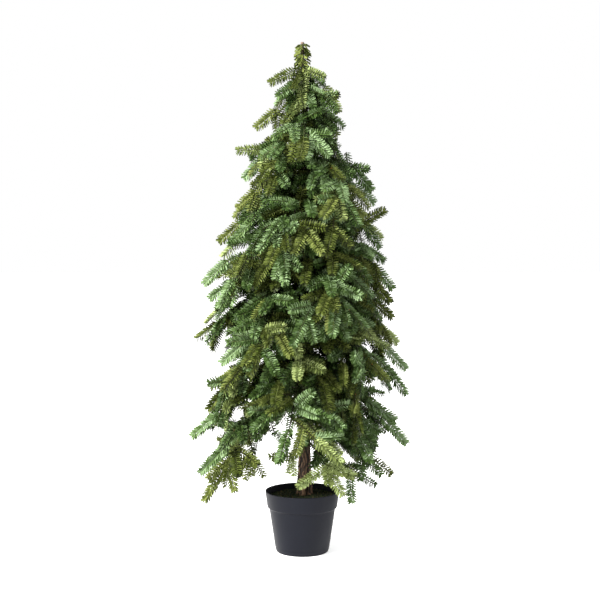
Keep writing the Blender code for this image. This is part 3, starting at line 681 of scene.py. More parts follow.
def grow_fan(crown, rng, line, end, crowding, mass, family=None):
    """End spray of a twig, and at each joint behind it a pair of sprays and needles on the twig."""
    family = family or pick_family(rng)
    keep_spray(crown, end, family, rng, mass)
    add_sides(crown, rng, end["root"], end["axis"], end["flat"], family, crowding, mass)
    if len(line) < 2:
        return
    mass["twigs"].append(line)
    runs = np.concatenate([[0], np.cumsum(np.linalg.norm(np.diff(line, axis=0), axis=1))])
    for run in np.arange(runs[-1] - JOINT_SPACING, -0.5 * JOINT_SPACING, -JOINT_SPACING):
        root, after = (np.array([np.interp(place, runs, column) for column in line.T])
                       for place in (max(run, 0.0), run + JOINT_SPACING))
        ahead = unit(after - root)
        flat = square_to(end["flat"], ahead)
        keep_spray(crown, joint_spray(root, after, flat), family, rng, mass)
        add_sides(crown, rng, root, ahead, flat, family, crowding, mass)


def spray_between(root, tip, flat):
    """A spray from its root to its tip."""
    length = np.linalg.norm(tip - root)
    return {"root": root, "axis": (tip - root) / length, "flat": flat, "length": length,
            "midline": root + (tip - root) * MIDLINE_SHARES[:, None]}


def joint_spray(root, after, flat):
    """Needles on a twig, from one joint to a little past the next."""
    return spray_between(root, root + (after - root) * JOINT_OVERLAP, flat)


def add_sides(crown, rng, root, ahead, flat, family, crowding, mass):
    """Sprays to the left and right of a joint, where there is room."""
    for side in (1, -1):
        found = side_spray(crown, rng, root, ahead, flat, side, mass["index"], crowding * SIDE_CROWDING)
        if found:
            keep_spray(crown, found, family, rng, mass)


def pick_family(rng):
    """Family of tints that a twig's sprays share."""
    chance = rng.uniform()
    for family, share in FAMILY_SHARES:
        chance -= share
        if chance < 0:
            return family
    return FAMILY_SHARES[0][0]


def keep_spray(crown, spray, family, rng, mass):
    """Add a spray to its mass, now and then with tints of another family than its twig's."""
    crown.add(spray["midline"])
    spray["family"] = pick_family(rng) if rng.uniform() < STRAY_SHARE else family
    # Painted shade: a spray deep inside the crown gets a darker shade
    x, y, z = spray["midline"][2]
    depth = PAINTED_SHADE_START * crown_reach(np.arctan2(y, x), z) - hypot(x, y)
    spray["shade"] = PAINTED_DEPTH_SHADE * max(0.0, depth)
    mass["sprays"].append(spray)


def grow_mass(crown, limb, mass):
    """Stem, twigs and sprays of a mass."""
    index = mass["index"]
    rng = np.random.default_rng(SEED * 1000 + index)
    for stem_end in np.arange(*STEM_ENDS):
        tip, heading = bend(limb, stem_end), bend_heading(limb, stem_end)
        found = end_spray(crown, rng, tip[None], heading[None], index, *END_SPRAY)
        if found:
            keep_spray(crown, found, pick_family(rng), rng, mass)
            break
    mass["stem"] = stem_end
    cover_stem(crown, limb, mass, rng)
    line = [bend(limb, u) for u in np.linspace(SPACE_START, stem_end, 12)]
    length = sum(np.linalg.norm(b - a) for a, b in zip(line[:-1], line[1:]))
    count = int(length / TWIG_SPACING) + 2
    roll = rng.uniform(0, 2 * pi)
    thinning = 1 + (OPEN_CROWDING - 1) * max(0.0, 1 - index / OPEN_COUNT)
    for crowding, crown.depth in zip(np.array(CROWDING) * thinning, ROUND_DEPTHS):
        for place in range(count):
            roll += GOLDEN_ANGLE
            u = stem_end - (stem_end - SPACE_START) * (place + rng.uniform(*TWIG_SHIFTS)) / count
            ahead = bend_heading(limb, u)
            lateral = unit(np.cross(UP, ahead))
            rising = np.cross(ahead, lateral)
            yaw = radians(rng.uniform(*TWIG_YAWS))
            heading = unit(ahead * cos(yaw) + (lateral * cos(roll) + rising * sin(roll)) * sin(yaw))
            grow_twig(crown, rng, bend(limb, u), heading, index, crowding, mass)
    crown.depth = 1.0


def cover_stem(crown, limb, mass, rng):
    """Needles along the outer part of a mass's stem."""
    family = pick_family(rng)
    arm = np.linalg.norm(limb[2] - limb[0])
    count = int((mass["stem"] - COVER_START) * arm / JOINT_SPACING) + 1
    line = [bend(limb, u) for u in np.linspace(COVER_START, mass["stem"], count + 1)]
    for root, after in zip(line[:-1], line[1:]):
        flat = rolled_flat(rng, root, after, ROLL_SPREAD)
        keep_spray(crown, joint_spray(root, after, flat), family, rng, mass)


def stem_points_of(limbs):
    """Points along the stem of each mass, where a twig may start."""
    return np.array([[bend(limb, u) for u in STEM_PLACES] for limb in limbs])


def twig_to(stems, place, aim):
    """The mass whose stem is nearest to a place, how near, and a twig that arrives along an aim."""
    away = np.linalg.norm(stems - (place - aim * TWIG_APPROACH), axis=2)
    index, point = np.unravel_index(away.argmin(), away.shape)
    foot = stems[index][max(point - 2, 0)]
    middle = place - aim * np.linalg.norm(place - foot) * 0.5
    return index, away.min(), np.array([bend((foot, middle, place), u) for u in np.linspace(0, 1, 7)])


def grow_tips(crown, limbs, masses):
    """The sprays that stand out at the crown's outline, each on a twig from the nearest stem."""
    rng = np.random.default_rng(SEED + 2)
    stems = stem_points_of(limbs)
    for tips, outward in ((LEFT_TIPS, -1), (RIGHT_TIPS, 1)):
        for height, reach, degrees in tips:
            slope = radians(degrees)
            length = spray_length(height) * rng.uniform(*TIP_LENGTHS)
            choices = []
            for turn in np.linspace(-TIP_TURN, TIP_TURN, TIP_CHOICES):
                aim = aimed(turn, slope) * (outward, 1, 1)
                tip = np.array((outward * reach, reach * np.tan(turn), height))
                index, away, line = twig_to(stems, tip - aim * length, aim)
                choices.append((away, index, line, tip, aim))
            away, index, line, tip, aim = min(choices, key=lambda choice: choice[0])
            end = spray_between(line[-1], tip, front_flat(rng, aim))
            grow_fan(crown, rng, line, end, CROWDING[0], masses[index])


def grow_clear_fans(crown, limbs, masses):
    """The fans that stand out from the rest, each on a twig from the nearest stem."""
    rng = np.random.default_rng(SEED + 3)
    stems = stem_points_of(limbs)
    for family, shade, *places in CLEAR_FANS:
        joint, *tips = np.array(places)
        aim = unit(sum(tip - joint for tip in tips) - UP * CLEAR_DROOP)
        index, _, line = twig_to(stems, joint, aim)
        ends = [spray_between(joint, tip, front_flat(rng, unit(tip - joint))) for tip in tips]
        for end in ends[1:]:
            keep_spray(crown, end, family, rng, masses[index])
        grow_fan(crown, rng, line, ends[0], CROWDING[0], masses[index], family)
        # Their painted light or shade takes the place of the painted shade by depth
        for spray in ends:
            spray.update(family=family, shade=shade)


def grow_trunk_sprays(crown, masses):
    """Short twigs on the trunk itself, each added to the mass whose space it stands in."""
    rng = np.random.default_rng(SEED + 1)
    low, high, step = TRUNK_SPRAYS
    for place, height in enumerate(np.arange(low, high, step)):
        azimuth = GOLDEN_ANGLE * place + rng.uniform(-TRUNK_TURN, TRUNK_TURN)
        aim = aimed(azimuth, rng.uniform(*TRUNK_SLOPES))
        root = trunk_centre(height)
        along = root + aim * np.arange(0.0, TRUNK_TWIG, TWIG_STEP)[:, None]
        found = end_spray(crown, rng, along, np.tile(aim, (len(along), 1)), 0, TRUNK_CROWDING, TRIES, 1.0)
        if not found:
            continue
        nearest = int(crown.owner[crown.distances(found["midline"][2:3])[0].argmin()])
        mass = masses[nearest]
        keep_spray(crown, found, pick_family(rng), rng, mass)
        if found["place"]:
            mass["twigs"].append(along[:found["place"] + 1])


def grow_whorl(crown):
    """Sprays at the foot of the leader, on short twigs."""
    rng = np.random.default_rng(SEED)
    mass = {"index": MASS_COUNT, "sprays": [], "twigs": [], "stem": None}
    for root, tip in whorl_lines():
        flat = rolled_flat(rng, root, tip, WHORL_ROLL_SPREAD)
        keep_spray(crown, spray_between(root, tip, flat), pick_family(rng), rng, mass)
        mass["twigs"].append(np.array((trunk_centre(root[2] + WHORL_RISE), root)))
    return mass


# Shape of a spray

def needle_corners(roots, headings, flats, lengths, widths, curls):
    """Five corners of each needle: root, two at its bend and two at its blunt end."""
    ups = square_to(flats, headings)
    sides = np.cross(headings, ups) * widths[:, None]
    bend_at = roots + headings * lengths[:, None] * NEEDLE_BEND + ups * (lengths * curls)[:, None]
    end = roots + headings * lengths[:, None]
    half, tip = sides * 0.5, sides * NEEDLE_END
    return np.stack((roots, bend_at + half, end + tip, end - tip, bend_at - half), axis=1)


def spray_template(rng, rows):
    """Needles and stem of a spray of unit length along +Y, with its upper side to +Z."""
    sag = rng.uniform(*SPRAY_SAGS)
    sway = rng.uniform(-SPRAY_SWAY, SPRAY_SWAY)
    shares, angles = [], []
    for row in range(rows):
        share = ROW_SHARES[0] + ROW_SHARES[1] * row / (rows - 1)
        for angle in ROW_ANGLES[row % 2]:
            shares.append(share + rng.uniform(-ROW_SHIFT, ROW_SHIFT) / rows)
            angles.append(angle + rng.uniform(-ANGLE_SHIFT, ANGLE_SHIFT))
    for place in range(TIP_NEEDLES):
        shares.append(TIP_SHARE)
        angles.append(360 * place / TIP_NEEDLES)
    shares, angles = np.array(shares), np.radians(angles)
    count = len(shares)
    sweeps = np.radians(read_off(NEEDLE_SWEEPS, shares) + rng.normal(0, SWEEP_SPREAD, count))
    radial = np.stack([np.sin(angles), np.zeros(count), np.cos(angles)], axis=1)
    headings = radial * np.sin(sweeps)[:, None] + np.array((0, 1, 0)) * np.cos(sweeps)[:, None]
    centres = stem_points(shares, sag, sway)
    rises = np.cos(angles)
    lengths = NEEDLE_LENGTH * read_off(SHARE_LENGTHS, shares) * rng.uniform(*NEEDLE_LENGTHS, count)
    lengths *= read_off(ANGLE_LENGTHS, np.degrees(np.arccos(rises)))
    widths = NEEDLE_WIDTH * rng.uniform(*NEEDLE_WIDTHS, count)
    flats = UP - radial * (1, 0, 0) * NEEDLE_LEAN + rng.normal(0, FACE_SPREAD, (count, 3))
    curls = NEEDLE_CURL * rng.uniform(*NEEDLE_CURLS, count)
    corners = needle_corners(centres, headings, flats, lengths, widths, curls)
    line = stem_points(np.linspace(0.0, SPRIG_END, 5), sag, sway)
    return {"needles": corners, "rises": rises, "stem": line}


def rows_of(spray):
    """Number of rows of needles on a spray, by its length."""
    return min(ROW_COUNTS, key=lambda rows: abs(rows * ROW_PITCH - spray["length"]))


def stem_points(shares, sag, sway):
    """Points of a spray's stem, which sags and sways a little."""
    return np.stack([sway * shares ** 2, shares, sag * shares ** 2], axis=1)


def placed(points, spray):
    """Points of a template at a spray's place, direction, length and girth."""
    side = np.cross(spray["axis"], spray["flat"])
    turn = np.stack([side, spray["axis"], spray["flat"]])
    girth = min(SPRAY_GIRTH, SPRAY_GIRTH_SHARE * spray["length"])
    return spray["root"] + (points * (girth, spray["length"], girth)) @ turn


def spray_tints(rng, spray, rises):
    """Shade of each needle within its family, with painted light and shade: by height, darker deep in the
    crown and under the stem, lighter above it.
    """
    shade = read_off(MEAN_AND_PAINTED_SHADES, spray["root"][2]) + rng.uniform(-SPRAY_SHADE, SPRAY_SHADE)
    shade += spray["shade"]
    shades = shade - PAINTED_RISE_SHADE * rises + rng.uniform(-NEEDLE_SHADE, NEEDLE_SHADE, len(rises))
    shades = np.clip(shades * SHADE_COUNT, 0, SHADE_COUNT - 1).astype(int)
    return list(TINTS).index(spray["family"]) * SHADE_COUNT + shades


def shade_of(shades, number):
    """One of a family's shades, read between its light, mid and dark."""
    places = np.linspace(0, SHADE_COUNT - 1, len(shades))
    return [float(np.exp(np.interp(number, places, np.log(column)))) for column in zip(*shades)]


# Meshes

def mesh_object(name, points, faces, materials, looks=None, smooth=False):
    """Object from an array of points and an array of faces with the same number of corners."""
    points, faces = np.asarray(points, np.float32), np.asarray(faces, np.int32)
    corners = faces.shape[1]
    mesh = bpy.data.meshes.new(name)
    mesh.vertices.add(len(points))
    mesh.vertices.foreach_set("co", points.ravel())
    mesh.loops.add(faces.size)
    mesh.loops.foreach_set("vertex_index", faces.ravel())
    mesh.polygons.add(len(faces))
    mesh.polygons.foreach_set("loop_start", np.arange(0, faces.size, corners, dtype=np.int32))
    for material in materials:
        mesh.materials.append(material)
    if looks is not None:
        mesh.polygons.foreach_set("material_index", np.asarray(looks, np.int32))
    mesh.polygons.foreach_set("use_smooth", np.full(len(faces), smooth))
    mesh.update(calc_edges=True)
    mesh.validate()
    piece = bpy.data.objects.new(name, mesh)
    bpy.context.scene.collection.objects.link(piece)
    return piece


def tube(line, radii, sides, relief=0.0):
    """Points and triangles of a closed tube along a line, with relief per corner."""
    line = np.asarray(line, float)
    headings = units(np.gradient(line, axis=0))
    steep = abs(headings[0][2]) >= 0.9
    across = units(np.cross(headings, (1.0, 0.2, 0.1) if steep else (0.3, 0.2, 1.0)))
    others = np.cross(headings, across)
    angles = ring_angles(sides)
    radii = np.asarray(radii, float)[:, None] + relief
    out = across[:, None] * np.cos(angles)[:, None] + others[:, None] * np.sin(angles)[:, None]
    points = (line[:, None] + out * radii[..., None]).reshape(-1, 3)
    return np.concatenate([points, line[[0, -1]]]), closed_faces(len(line), sides)[1]


def closed_faces(rows, columns):
    """Quads between rings, and all triangles with the fans that close them to two end points."""
    row, ring = np.meshgrid(np.arange(rows - 1), np.arange(columns), indexing="ij")
    low, high, after = row * columns, (row + 1) * columns, (ring + 1) % columns
    quads = np.stack([low + ring, low + after, high + after, high + ring], axis=-1).reshape(-1, 4)
    ring, after = ring[0], after[0]
    top, count = (rows - 1) * columns, rows * columns
    fans = [np.stack([after, ring, np.full(columns, count)], 1),
            np.stack([top + ring, top + after, np.full(columns, count + 1)], 1)]
    return quads, np.concatenate([quads[:, [0, 1, 2]], quads[:, [0, 2, 3]], *fans])


class Bundle:
    """Gathers many small shapes into one mesh."""

    def __init__(self):
        self.points, self.faces, self.looks, self.count = [], [], [], 0

    def add(self, points, faces, looks):
        self.points.append(points)
        self.faces.append(faces + self.count)
        self.looks.append(np.broadcast_to(looks, len(faces)))
        self.count += len(points)

    def triangles(self):
        return sum(len(faces) for faces in self.faces)

    def build(self, name, materials, smooth=False):
        return mesh_object(name, np.concatenate(self.points), np.concatenate(self.faces),
                           materials, np.concatenate(self.looks), smooth)


# Materials

def plain(name, colour, roughness, specular=0.5):
    material = bpy.data.materials.new(name)
    material.use_nodes = True
    shader = material.node_tree.nodes["Principled BSDF"]
    shader.inputs["Base Color"].default_value = (*colour, 1.0)
    shader.inputs["Roughness"].default_value = roughness
    shader.inputs["Specular IOR Level"].default_value = specular
    return material


def add_node(material, kind, **values):
    """A new node with some of its inputs or settings filled in."""
    node = material.node_tree.nodes.new(kind)
    for key, value in values.items():
        if key in node.inputs:
            node.inputs[key].default_value = value
        else:
            setattr(node, key, value)
    return node


def patterned(name, colours, scale, roughness, bump, stretch=(1, 1, 1), detail=6.0):
    """A material whose colour and bump, of a strength and a depth, follow a noise."""
    material = plain(name, colours[0], roughness, 0.25)
    links = material.node_tree.links
    shader = material.node_tree.nodes["Principled BSDF"]
    coordinates = add_node(material, "ShaderNodeTexCoord")
    mapping = add_node(material, "ShaderNodeMapping", Scale=stretch)
    noise = add_node(material, "ShaderNodeTexNoise", Scale=scale, Detail=detail, Roughness=0.6)
    ramp = add_node(material, "ShaderNodeValToRGB")
    stops = ramp.color_ramp.elements
    stops[0].position, stops[1].position = NOISE_RANGE
    for place in np.linspace(*NOISE_RANGE, len(colours))[1:-1]:
        stops.new(place)
    for stop, colour in zip(stops, colours):
        stop.color = (*colour, 1.0)
    relief = add_node(material, "ShaderNodeBump", Strength=bump[0], Distance=bump[1])
    links.new(coordinates.outputs["Object"], mapping.inputs["Vector"])
    links.new(mapping.outputs["Vector"], noise.inputs["Vector"])
    links.new(noise.outputs["Fac"], ramp.inputs["Fac"])
    links.new(ramp.outputs["Color"], shader.inputs["Base Color"])
    links.new(noise.outputs["Fac"], relief.inputs["Height"])
    links.new(relief.outputs["Normal"], shader.inputs["Normal"])
    return material


# Pot, moss, trunk and boughs

def rounded(profile, corners, radius, steps=4):
    """A profile with the named corners cut to arcs."""
    result = []
    for i, point in enumerate(profile):
        point = np.array(point)
        if i not in corners:
            result.append(point)
            continue
        before = point + unit(np.array(profile[i - 1]) - point) * radius
        after = point + unit(np.array(profile[i + 1]) - point) * radius
        result += [bend((before, point, after), t) for t in np.linspace(0, 1, steps + 1)]
    return result


def turned_shape(name, profile, material):
    """Smooth solid of revolution from a profile that starts and ends on the axis."""
    profile = np.array(profile)
    angles = ring_angles(POT_STEPS)
    inner = profile[1:-1]
    points = np.stack([inner[:, :1] * np.cos(angles), inner[:, :1] * np.sin(angles),
                       np.repeat(inner[:, 1:], POT_STEPS, axis=1)], axis=2).reshape(-1, 3)
    ends = ((0, 0, profile[0][1]), (0, 0, profile[-1][1]))
    faces = closed_faces(len(inner), POT_STEPS)[1][:, [0, 2, 1]]
    piece = mesh_object(name, np.concatenate([points, ends]), faces, [material], smooth=True)
    piece.data.set_sharp_from_angle(angle=SHARP_ANGLE)
    return piece


def build_pot():
    lip = POT_WALL * 0.3
    profile = [(0.0, POT_FLOOR), (POT_CORNER_RADIUS - POT_WALL, POT_FLOOR),
               (POT_STEP_RADIUS - POT_WALL, POT_STEP_LOW), (POT_BAND_RADIUS - POT_WALL, POT_BAND_LOW),
               (POT_RIM_RADIUS - POT_WALL, POT_HEIGHT - lip), (POT_RIM_RADIUS - 2 * lip, POT_HEIGHT),
               (POT_RIM_RADIUS - lip, POT_HEIGHT), (POT_RIM_RADIUS, POT_HEIGHT - lip),
               (POT_BAND_RADIUS, POT_BAND_LOW), (POT_LEDGE_RADIUS, POT_LEDGE_LOW),
               (POT_STEP_RADIUS, POT_STEP_LOW), (POT_CORNER_RADIUS, POT_CORNER_HEIGHT),
               ((POT_CORNER_RADIUS + POT_FOOT_RADIUS) / 2, POT_CORNER_HEIGHT / 5),
               (POT_FOOT_RADIUS, 0.0), (0.0, 0.0)]
    profile = rounded(profile, (4, 7), LIP_ROUNDING)
    ledge = len(profile) - 7
    profile = rounded(profile, (ledge, ledge + 1, ledge + 2), LEDGE_ROUNDING)
    pot = turned_shape("pot_shell", profile, pot_material())
    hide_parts("pot")
    return pot


def pot_material():
    material = patterned("pot_matte_plastic", ((0.0030, 0.0036, 0.0070), (0.0038, 0.0046, 0.0084)),
                         14.0, 0.48, (0.04, 0.0004), detail=8.0)
    shader = material.node_tree.nodes["Principled BSDF"]
    shader.inputs["Specular IOR Level"].default_value = 0.12
    grain = add_node(material, "ShaderNodeTexNoise", Scale=1400.0, Detail=2.0)
    place = material.node_tree.nodes["Texture Coordinate"]
    relief = add_node(material, "ShaderNodeBump", Strength=0.10, Distance=0.0003)
    links = material.node_tree.links
    links.new(place.outputs["Object"], grain.inputs["Vector"])
    links.new(grain.outputs["Fac"], relief.inputs["Height"])
    links.new(relief.outputs["Normal"], shader.inputs["Normal"])
    return material


def moss_height(x, y):
    """Top of the moss: a low dome with hummocks away from the trunk."""
    radius = np.hypot(x, y)
    hummocks = sum(share * np.sin(across * x + shift) * np.sin(along * y + other_shift)
                   for share, across, shift, along, other_shift in HUMMOCK_WAVES)
    share = np.clip((radius - HUMMOCK_START) / HUMMOCK_START, 0, 1)
    return read_off(MOSS_DOME, radius) + HUMMOCK_HEIGHT * hummocks * share


def build_filling():
    """The filling with its mossy top."""
    inner_foot = POT_CORNER_RADIUS - POT_WALL - 2 * GAP
    inner_step = POT_STEP_RADIUS - POT_WALL - 2 * GAP
    inner_band = POT_BAND_RADIUS - POT_WALL - 2 * GAP
    slope = (POT_RIM_RADIUS - POT_BAND_RADIUS) / (POT_HEIGHT - POT_BAND_LOW)
    edge = inner_band + slope * (SOIL_EDGE_HEIGHT - POT_BAND_LOW)
    profile = [(0.0, SOIL_HEIGHT)]
    profile += [(radius, SOIL_HEIGHT) for radius in np.linspace(SOIL_BEVEL, edge - SOIL_BEVEL, SOIL_RINGS)]
    profile += [(edge - SOIL_BEVEL / 3, SOIL_EDGE_HEIGHT - SOIL_BEVEL), (inner_band, POT_BAND_LOW),
                (inner_step, POT_STEP_LOW), (inner_foot, POT_FLOOR + GAP), (0.0, POT_FLOOR + GAP)]
    soil = patterned("moss_mat", ((0.008, 0.010, 0.006), (0.018, 0.024, 0.010), (0.030, 0.024, 0.014)),
                     60.0, 0.95, (0.5, 0.002))
    filling = turned_shape("filling_body", profile, soil)
    filling.data.flip_normals()
    for vertex in filling.data.vertices:
        if vertex.co.z > SOIL_EDGE_HEIGHT:
            vertex.co.z = float(moss_height(vertex.co.x, vertex.co.y))
    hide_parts("filling")
    return filling


def build_moss():
    """Small fronds of moss that stand and lean on the filling."""
    rng = np.random.default_rng(SEED)
    fronds = Bundle()
    shares = [share for _, share in FROND_LOOKS.values()]
    for _ in range(FROND_COUNT):
        radius = FROND_REACH * hypot(rng.uniform(0, 1), 0.02) ** 0.5
        azimuth = rng.uniform(0, 2 * pi)
        x, y = radius * cos(azimuth), radius * sin(azimuth)
        foot = np.array((x, y, float(moss_height(x, y)) - FROND_DEPTH))
        lean = unit(np.array((rng.normal(0, FROND_LEAN), rng.normal(0, FROND_LEAN), 1.0)))
        side = unit(np.cross(lean, rng.normal(0, 1, 3))) * rng.uniform(*FROND_WIDTHS)
        tall = rng.uniform(*FROND_HEIGHTS)
        tip = foot + lean * tall + rng.normal(0, FROND_DROOP, 3)
        middle = foot + lean * tall * 0.55
        points = np.array((foot - side, foot + side, middle - side * 0.8, middle + side * 0.8, tip))
        fronds.add(points, FROND_FACES, int(rng.choice(len(shares), p=shares)))
    looks = [plain("moss_" + name, colour, 0.85, 0.2) for name, (colour, _) in FROND_LOOKS.items()]
    moss = fronds.build("moss_fronds", looks)
    return moss


def drift(places, rng, lengths, depth):
    """A smooth random line: a sum of waves with random phases."""
    return sum(depth * np.sin(2 * pi * places / length + rng.uniform(0, 2 * pi)) for length in lengths)


def bark_relief(rng, heights, angles, waves):
    """Ridges and sharp furrows that run along a limb and waver."""
    relief = 0
    for count, depth, waver in waves:
        phase = drift(heights, rng, BARK_WAVERS, waver)
        swell = 0.7 + 0.3 * np.sin(drift(heights, rng, BARK_SWELLS, 2.0))
        furrow = np.abs(np.sin(count * angles / 2 + phase[:, None]))
        relief = relief + depth * swell[:, None] * (furrow ** 0.6 - 0.7)
    return relief


def bough_material():
    return patterned("bough_plastic", ((0.008, 0.007, 0.003), (0.022, 0.022, 0.008), (0.045, 0.040, 0.016)),
                     60.0, 0.7, (0.5, 0.001))


def bark_materials():
    """Dark furrows, ridges and light strands."""
    shades = {"furrow": ((0.004, 0.003, 0.002), (0.012, 0.008, 0.005), (0.024, 0.016, 0.010)),
              "ridge": ((0.010, 0.006, 0.004), (0.032, 0.020, 0.013), (0.070, 0.046, 0.031)),
              "strand": ((0.040, 0.021, 0.011), (0.110, 0.064, 0.036), (0.220, 0.135, 0.085))}
    return [patterned("bark_" + name, colours, 90.0, 0.78, (0.6, 0.0015), BARK_STRETCH, 8.0)
            for name, colours in shades.items()]


def build_trunk(bark):
    """The trunk with its furrows, and strands with dark gaps between them at its flare."""
    low, high = TRUNK_RINGS
    heights = np.concatenate([np.linspace(TRUNK_FOOT, FLARE_TOP, low),
                              np.linspace(FLARE_TOP, TRUNK_TOP, high)[1:]])
    angles = ring_angles(TRUNK_SIDES)
    relief = bark_relief(np.random.default_rng(SEED), heights, angles, BARK_WAVES)
    radii = trunk_radius(heights)[:, None]
    flare = np.clip((FLARE_TOP - heights) / (FLARE_TOP - TRUNK_FOOT), 0, 1)[:, None]
    turned = FLARE_LOBES * (angles + FLARE_TWIST * flare)
    lobes = 1 + FLARE_SPREAD * flare * np.cos(turned)
    gap = (1 - np.abs(np.cos(turned / 2))) ** 5
    radii = radii * lobes + relief * np.clip(radii / BARK_FULL_RADIUS, 0.3, 1.0)
    radii = radii - FLARE_GAP * flare ** 0.8 * gap + read_off(BARK_SWELL, heights)[:, None]
    line = np.array([trunk_centre(height) for height in heights])
    out = np.stack([np.cos(angles), np.sin(angles), np.zeros(TRUNK_SIDES)], axis=1)
    points = (line[:, None] + out * radii[..., None]).reshape(-1, 3)
    quads, faces = closed_faces(len(line), TRUNK_SIDES)
    # Furrows are dark, ridges lighter, and the strands of the flare lightest; the dark of the furrows and
    # of the gaps between the strands is partly the bark's own colour and partly painted shade
    ridge = relief / relief.std() - GAP_SHADE * flare * gap + STRAND_SHADE * flare ** 2
    shades = np.digitize(ridge.ravel()[quads].mean(1), BARK_STEPS)
    looks = np.concatenate([shades, shades, np.zeros(2 * TRUNK_SIDES, int)])
    trunk = mesh_object("trunk_bark", np.concatenate([points, line[[0, -1]]]), faces, bark, looks, True)
    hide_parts("trunk")
    return trunk


def build_boughs(limbs, masses, bark):
    """Boughs with the stems that run on from them into the masses."""
    bundle = Bundle()
    for index, (limb, mass) in enumerate(zip(limbs, masses)):
        rng = np.random.default_rng(SEED + 100 + index)
        shares = np.linspace(0.0, mass["stem"], BOUGH_POINTS)
        line = [bend(limb, u) for u in shares]
        start = BOUGH_RADIUS if index < BOUGH_COUNT else STEM_RADII[0]
        radii = np.interp(shares, (0, BOUGH_END, mass["stem"]), (start, *STEM_RADII))
        runs = np.cumsum(np.full(BOUGH_POINTS, 0.01))
        relief = bark_relief(rng, runs, ring_angles(BOUGH_SIDES), BOUGH_WAVES)
        bundle.add(*tube(line, radii, BOUGH_SIDES, relief), 0)
    boughs = bundle.build("boughs_bark", [bark], smooth=True)
    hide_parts(*["bough_%02d" % (i + 1) for i in range(BOUGH_COUNT)])
    return boughs


# Foliage

def needle_materials():
    return [plain("needles_%s_%d" % (family, number + 1), shade_of(shades, number), 0.5, 0.13)
            for family, shades in TINTS.items() for number in range(SHADE_COUNT)]


def leader_needles(rng, bundle):
    """Needles round the leader's stem that slope out and down, tier by tier."""
    count = LEADER_NEEDLES
    for tier, height in enumerate(np.linspace(LEADER_FOOT, LEADER_TOP_TIER, LEADER_TIERS)):
        places = np.arange(count) + rng.uniform(-LEADER_TURN, LEADER_TURN, count) + 0.5 * (tier % 2)
        angles = 2 * pi * places / count
        slopes = np.tan(LEADER_SLOPE + rng.normal(0, LEADER_SLOPE_SPREAD, count))
        headings = units(np.stack([np.cos(angles), np.sin(angles), -slopes], axis=1))
        roots = trunk_centre(height) + headings * LEADER_STEM[0] * 0.8
        roots += UP * rng.normal(0, LEADER_SHIFT, (count, 1))
        lengths = rng.uniform(*LEADER_LENGTHS, count)
        if tier == LEADER_TIERS - 1:
            lengths *= LEADER_LAST_SHARE
        rolls = rng.choice((-LEADER_ROLL, LEADER_ROLL), count) + rng.normal(0, LEADER_ROLL_SPREAD, count)
        rolls = rolls[:, None]
        flats = UP * np.cos(rolls) + np.cross(headings, UP) * np.sin(rolls)
        corners = needle_corners(roots, headings, flats, lengths, rng.uniform(*LEADER_WIDTHS, count),
                                 rng.uniform(*LEADER_CURLS, count))
        shades = rng.choice(SHADE_COUNT, count, p=LEADER_SHADES)
        add_needles(bundle, corners, list(TINTS).index("olive") * SHADE_COUNT + shades)


def add_needles(bundle, corners, looks):
    count = len(corners)
    faces = (np.arange(count)[:, None, None] * corners.shape[1] + NEEDLE_FACES).reshape(-1, 3)
    bundle.add(corners.reshape(-1, 3), faces, np.repeat(looks, len(NEEDLE_FACES)))


def build_foliage(masses):
    """Needles in pieces by height, and all twigs with the stems of the sprays in one."""
    rng = np.random.default_rng(SEED)
    templates = {rows: [spray_template(rng, rows) for _ in range(TEMPLATE_COUNT)] for rows in ROW_COUNTS}
    materials = needle_materials()
    twigs = Bundle()
    pieces, bundle, nodes = [], Bundle(), []
    for mass in masses:
        needles = sum(len(templates[rows_of(spray)][0]["needles"]) for spray in mass["sprays"])
        if bundle.triangles() + needles * len(NEEDLE_FACES) > PIECE_LIMIT:
            pieces.append(finish_needles(bundle, nodes, len(pieces), materials))
            bundle, nodes = Bundle(), []
        number = mass["index"]
        nodes.append("foliage_%02d" % (number + 1) if number < MASS_COUNT else "foliage_leader")
        for spray in mass["sprays"]:
            template = templates[rows_of(spray)][rng.integers(TEMPLATE_COUNT)]
            corners = placed(template["needles"], spray)
            add_needles(bundle, corners, spray_tints(rng, spray, template["rises"]))
            stem = placed(template["stem"], spray)
            twigs.add(*tube(stem, np.linspace(*SPRIG_RADII, len(stem)), 3), 1)
            if rng.uniform() < BUD_SHARE:
                bud = stem[1] + spray["flat"] * BUD_RADIUS
                line = bud + spray["axis"] * BUD_LENGTH * np.linspace(0, 1, 4)[:, None]
                twigs.add(*tube(line, BUD_RADIUS * np.array(BUD_PROFILE), 5), 3)
        for line in mass["twigs"]:
            twigs.add(*tube(line, np.linspace(*TWIG_RADII, len(line)), 4), 0)
    leader_needles(rng, bundle)
    add_leader_stem(twigs)
    pieces.append(finish_needles(bundle, nodes, len(pieces), materials))
    wood = twigs.build("twigs", [plain(name, *look) for name, look in TWIG_LOOKS.items()])
    return pieces + [wood]


def add_leader_stem(twigs):
    """The leader's stem, and its cut end at the very top."""
    low, high = LEADER_STEM
    stem = [trunk_centre(height) for height in np.linspace(TRUNK_TOP - 0.002, TREE_HEIGHT - 0.0025, 8)]
    twigs.add(*tube(stem, np.linspace(low, high, 8), 10), 0)
    end = [trunk_centre(height) for height in (TREE_HEIGHT - 0.004, TREE_HEIGHT)]
    twigs.add(*tube(end, (high * 1.02, high), 10), 2)


def finish_needles(bundle, nodes, number, materials):
    piece = bundle.build("needles_tier_%d" % (number + 1), materials)
    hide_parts(*nodes)
    return piece


# Stage

def placed_object(name, data, place, turn):
    holder = bpy.data.objects.new(name, data)
    holder.location = place
    holder.rotation_euler = turn
    bpy.context.scene.collection.objects.link(holder)
    return holder


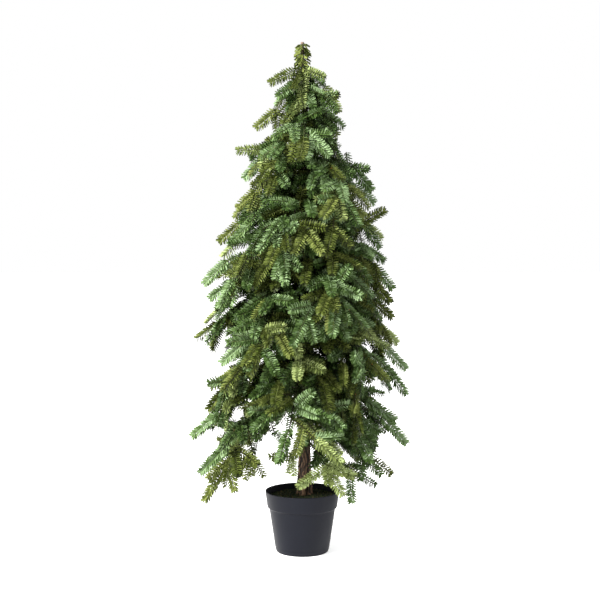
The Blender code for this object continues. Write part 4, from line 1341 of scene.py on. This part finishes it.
def area_light(name, place, size, power, colour):
    """A square light that shines on the middle of the tree."""
    lamp = bpy.data.lights.new(name, "AREA")
    lamp.size = size
    lamp.energy = power
    lamp.color = colour
    dx, dy, dz = np.subtract(LIGHT_AIM, place)
    placed_object(name, lamp, place, (np.arctan2(hypot(dx, dy), -dz), 0.0, np.arctan2(dy, dx) - pi / 2))


def floor_material():
    material = plain("floor_white", (0.90, 0.90, 0.90), 0.9, 0.1)
    shader = material.node_tree.nodes["Principled BSDF"]
    shader.inputs["Emission Color"].default_value = (1.0, 1.0, 1.0, 1.0)
    shader.inputs["Emission Strength"].default_value = FLOOR_GLOW
    return material


def build_stage():
    """Floor, even light from all around, two lamps and the camera."""
    corners = np.array(((-1, -1, 0), (1, -1, 0), (1, 1, 0), (-1, 1, 0))) * FLOOR_HALF
    floor = mesh_object("floor", corners, [(0, 1, 2, 3)], [floor_material()])
    world = bpy.data.worlds.new("studio")
    bpy.context.scene.world = world
    world.use_nodes = True
    world.node_tree.nodes["Background"].inputs["Color"].default_value = (1.0, 1.0, 1.0, 1.0)
    world.node_tree.nodes["Background"].inputs["Strength"].default_value = 1.0
    for name, light in LIGHTS.items():
        area_light(name, *light)
    camera = bpy.data.cameras.new("camera")
    camera.lens = CAMERA_LENS
    camera.sensor_width = 36.0
    turn = (pi / 2 - CAMERA_PITCH, 0.0, 0.0)
    bpy.context.scene.camera = placed_object("camera", camera, CAMERA_PLACE, turn)
    bpy.context.scene.view_settings.view_transform = "Standard"


def dress():
    limbs = plan_limbs()
    crown = Crown(limbs)
    whorl = grow_whorl(crown)
    masses = [{"index": index, "sprays": [], "twigs": []} for index in range(MASS_COUNT)]
    grow_clear_fans(crown, limbs, masses)
    grow_tips(crown, limbs, masses)
    for limb, mass in zip(limbs, masses):
        grow_mass(crown, limb, mass)
    grow_trunk_sprays(crown, masses + [whorl])
    pieces = [build_pot(), build_filling(), build_moss(), build_trunk(bark_materials()),
              build_boughs(limbs, masses, bough_material())]
    pieces += build_foliage(masses + [whorl])
    for piece in pieces:
        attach(piece, "root")


build_stage()
dress()
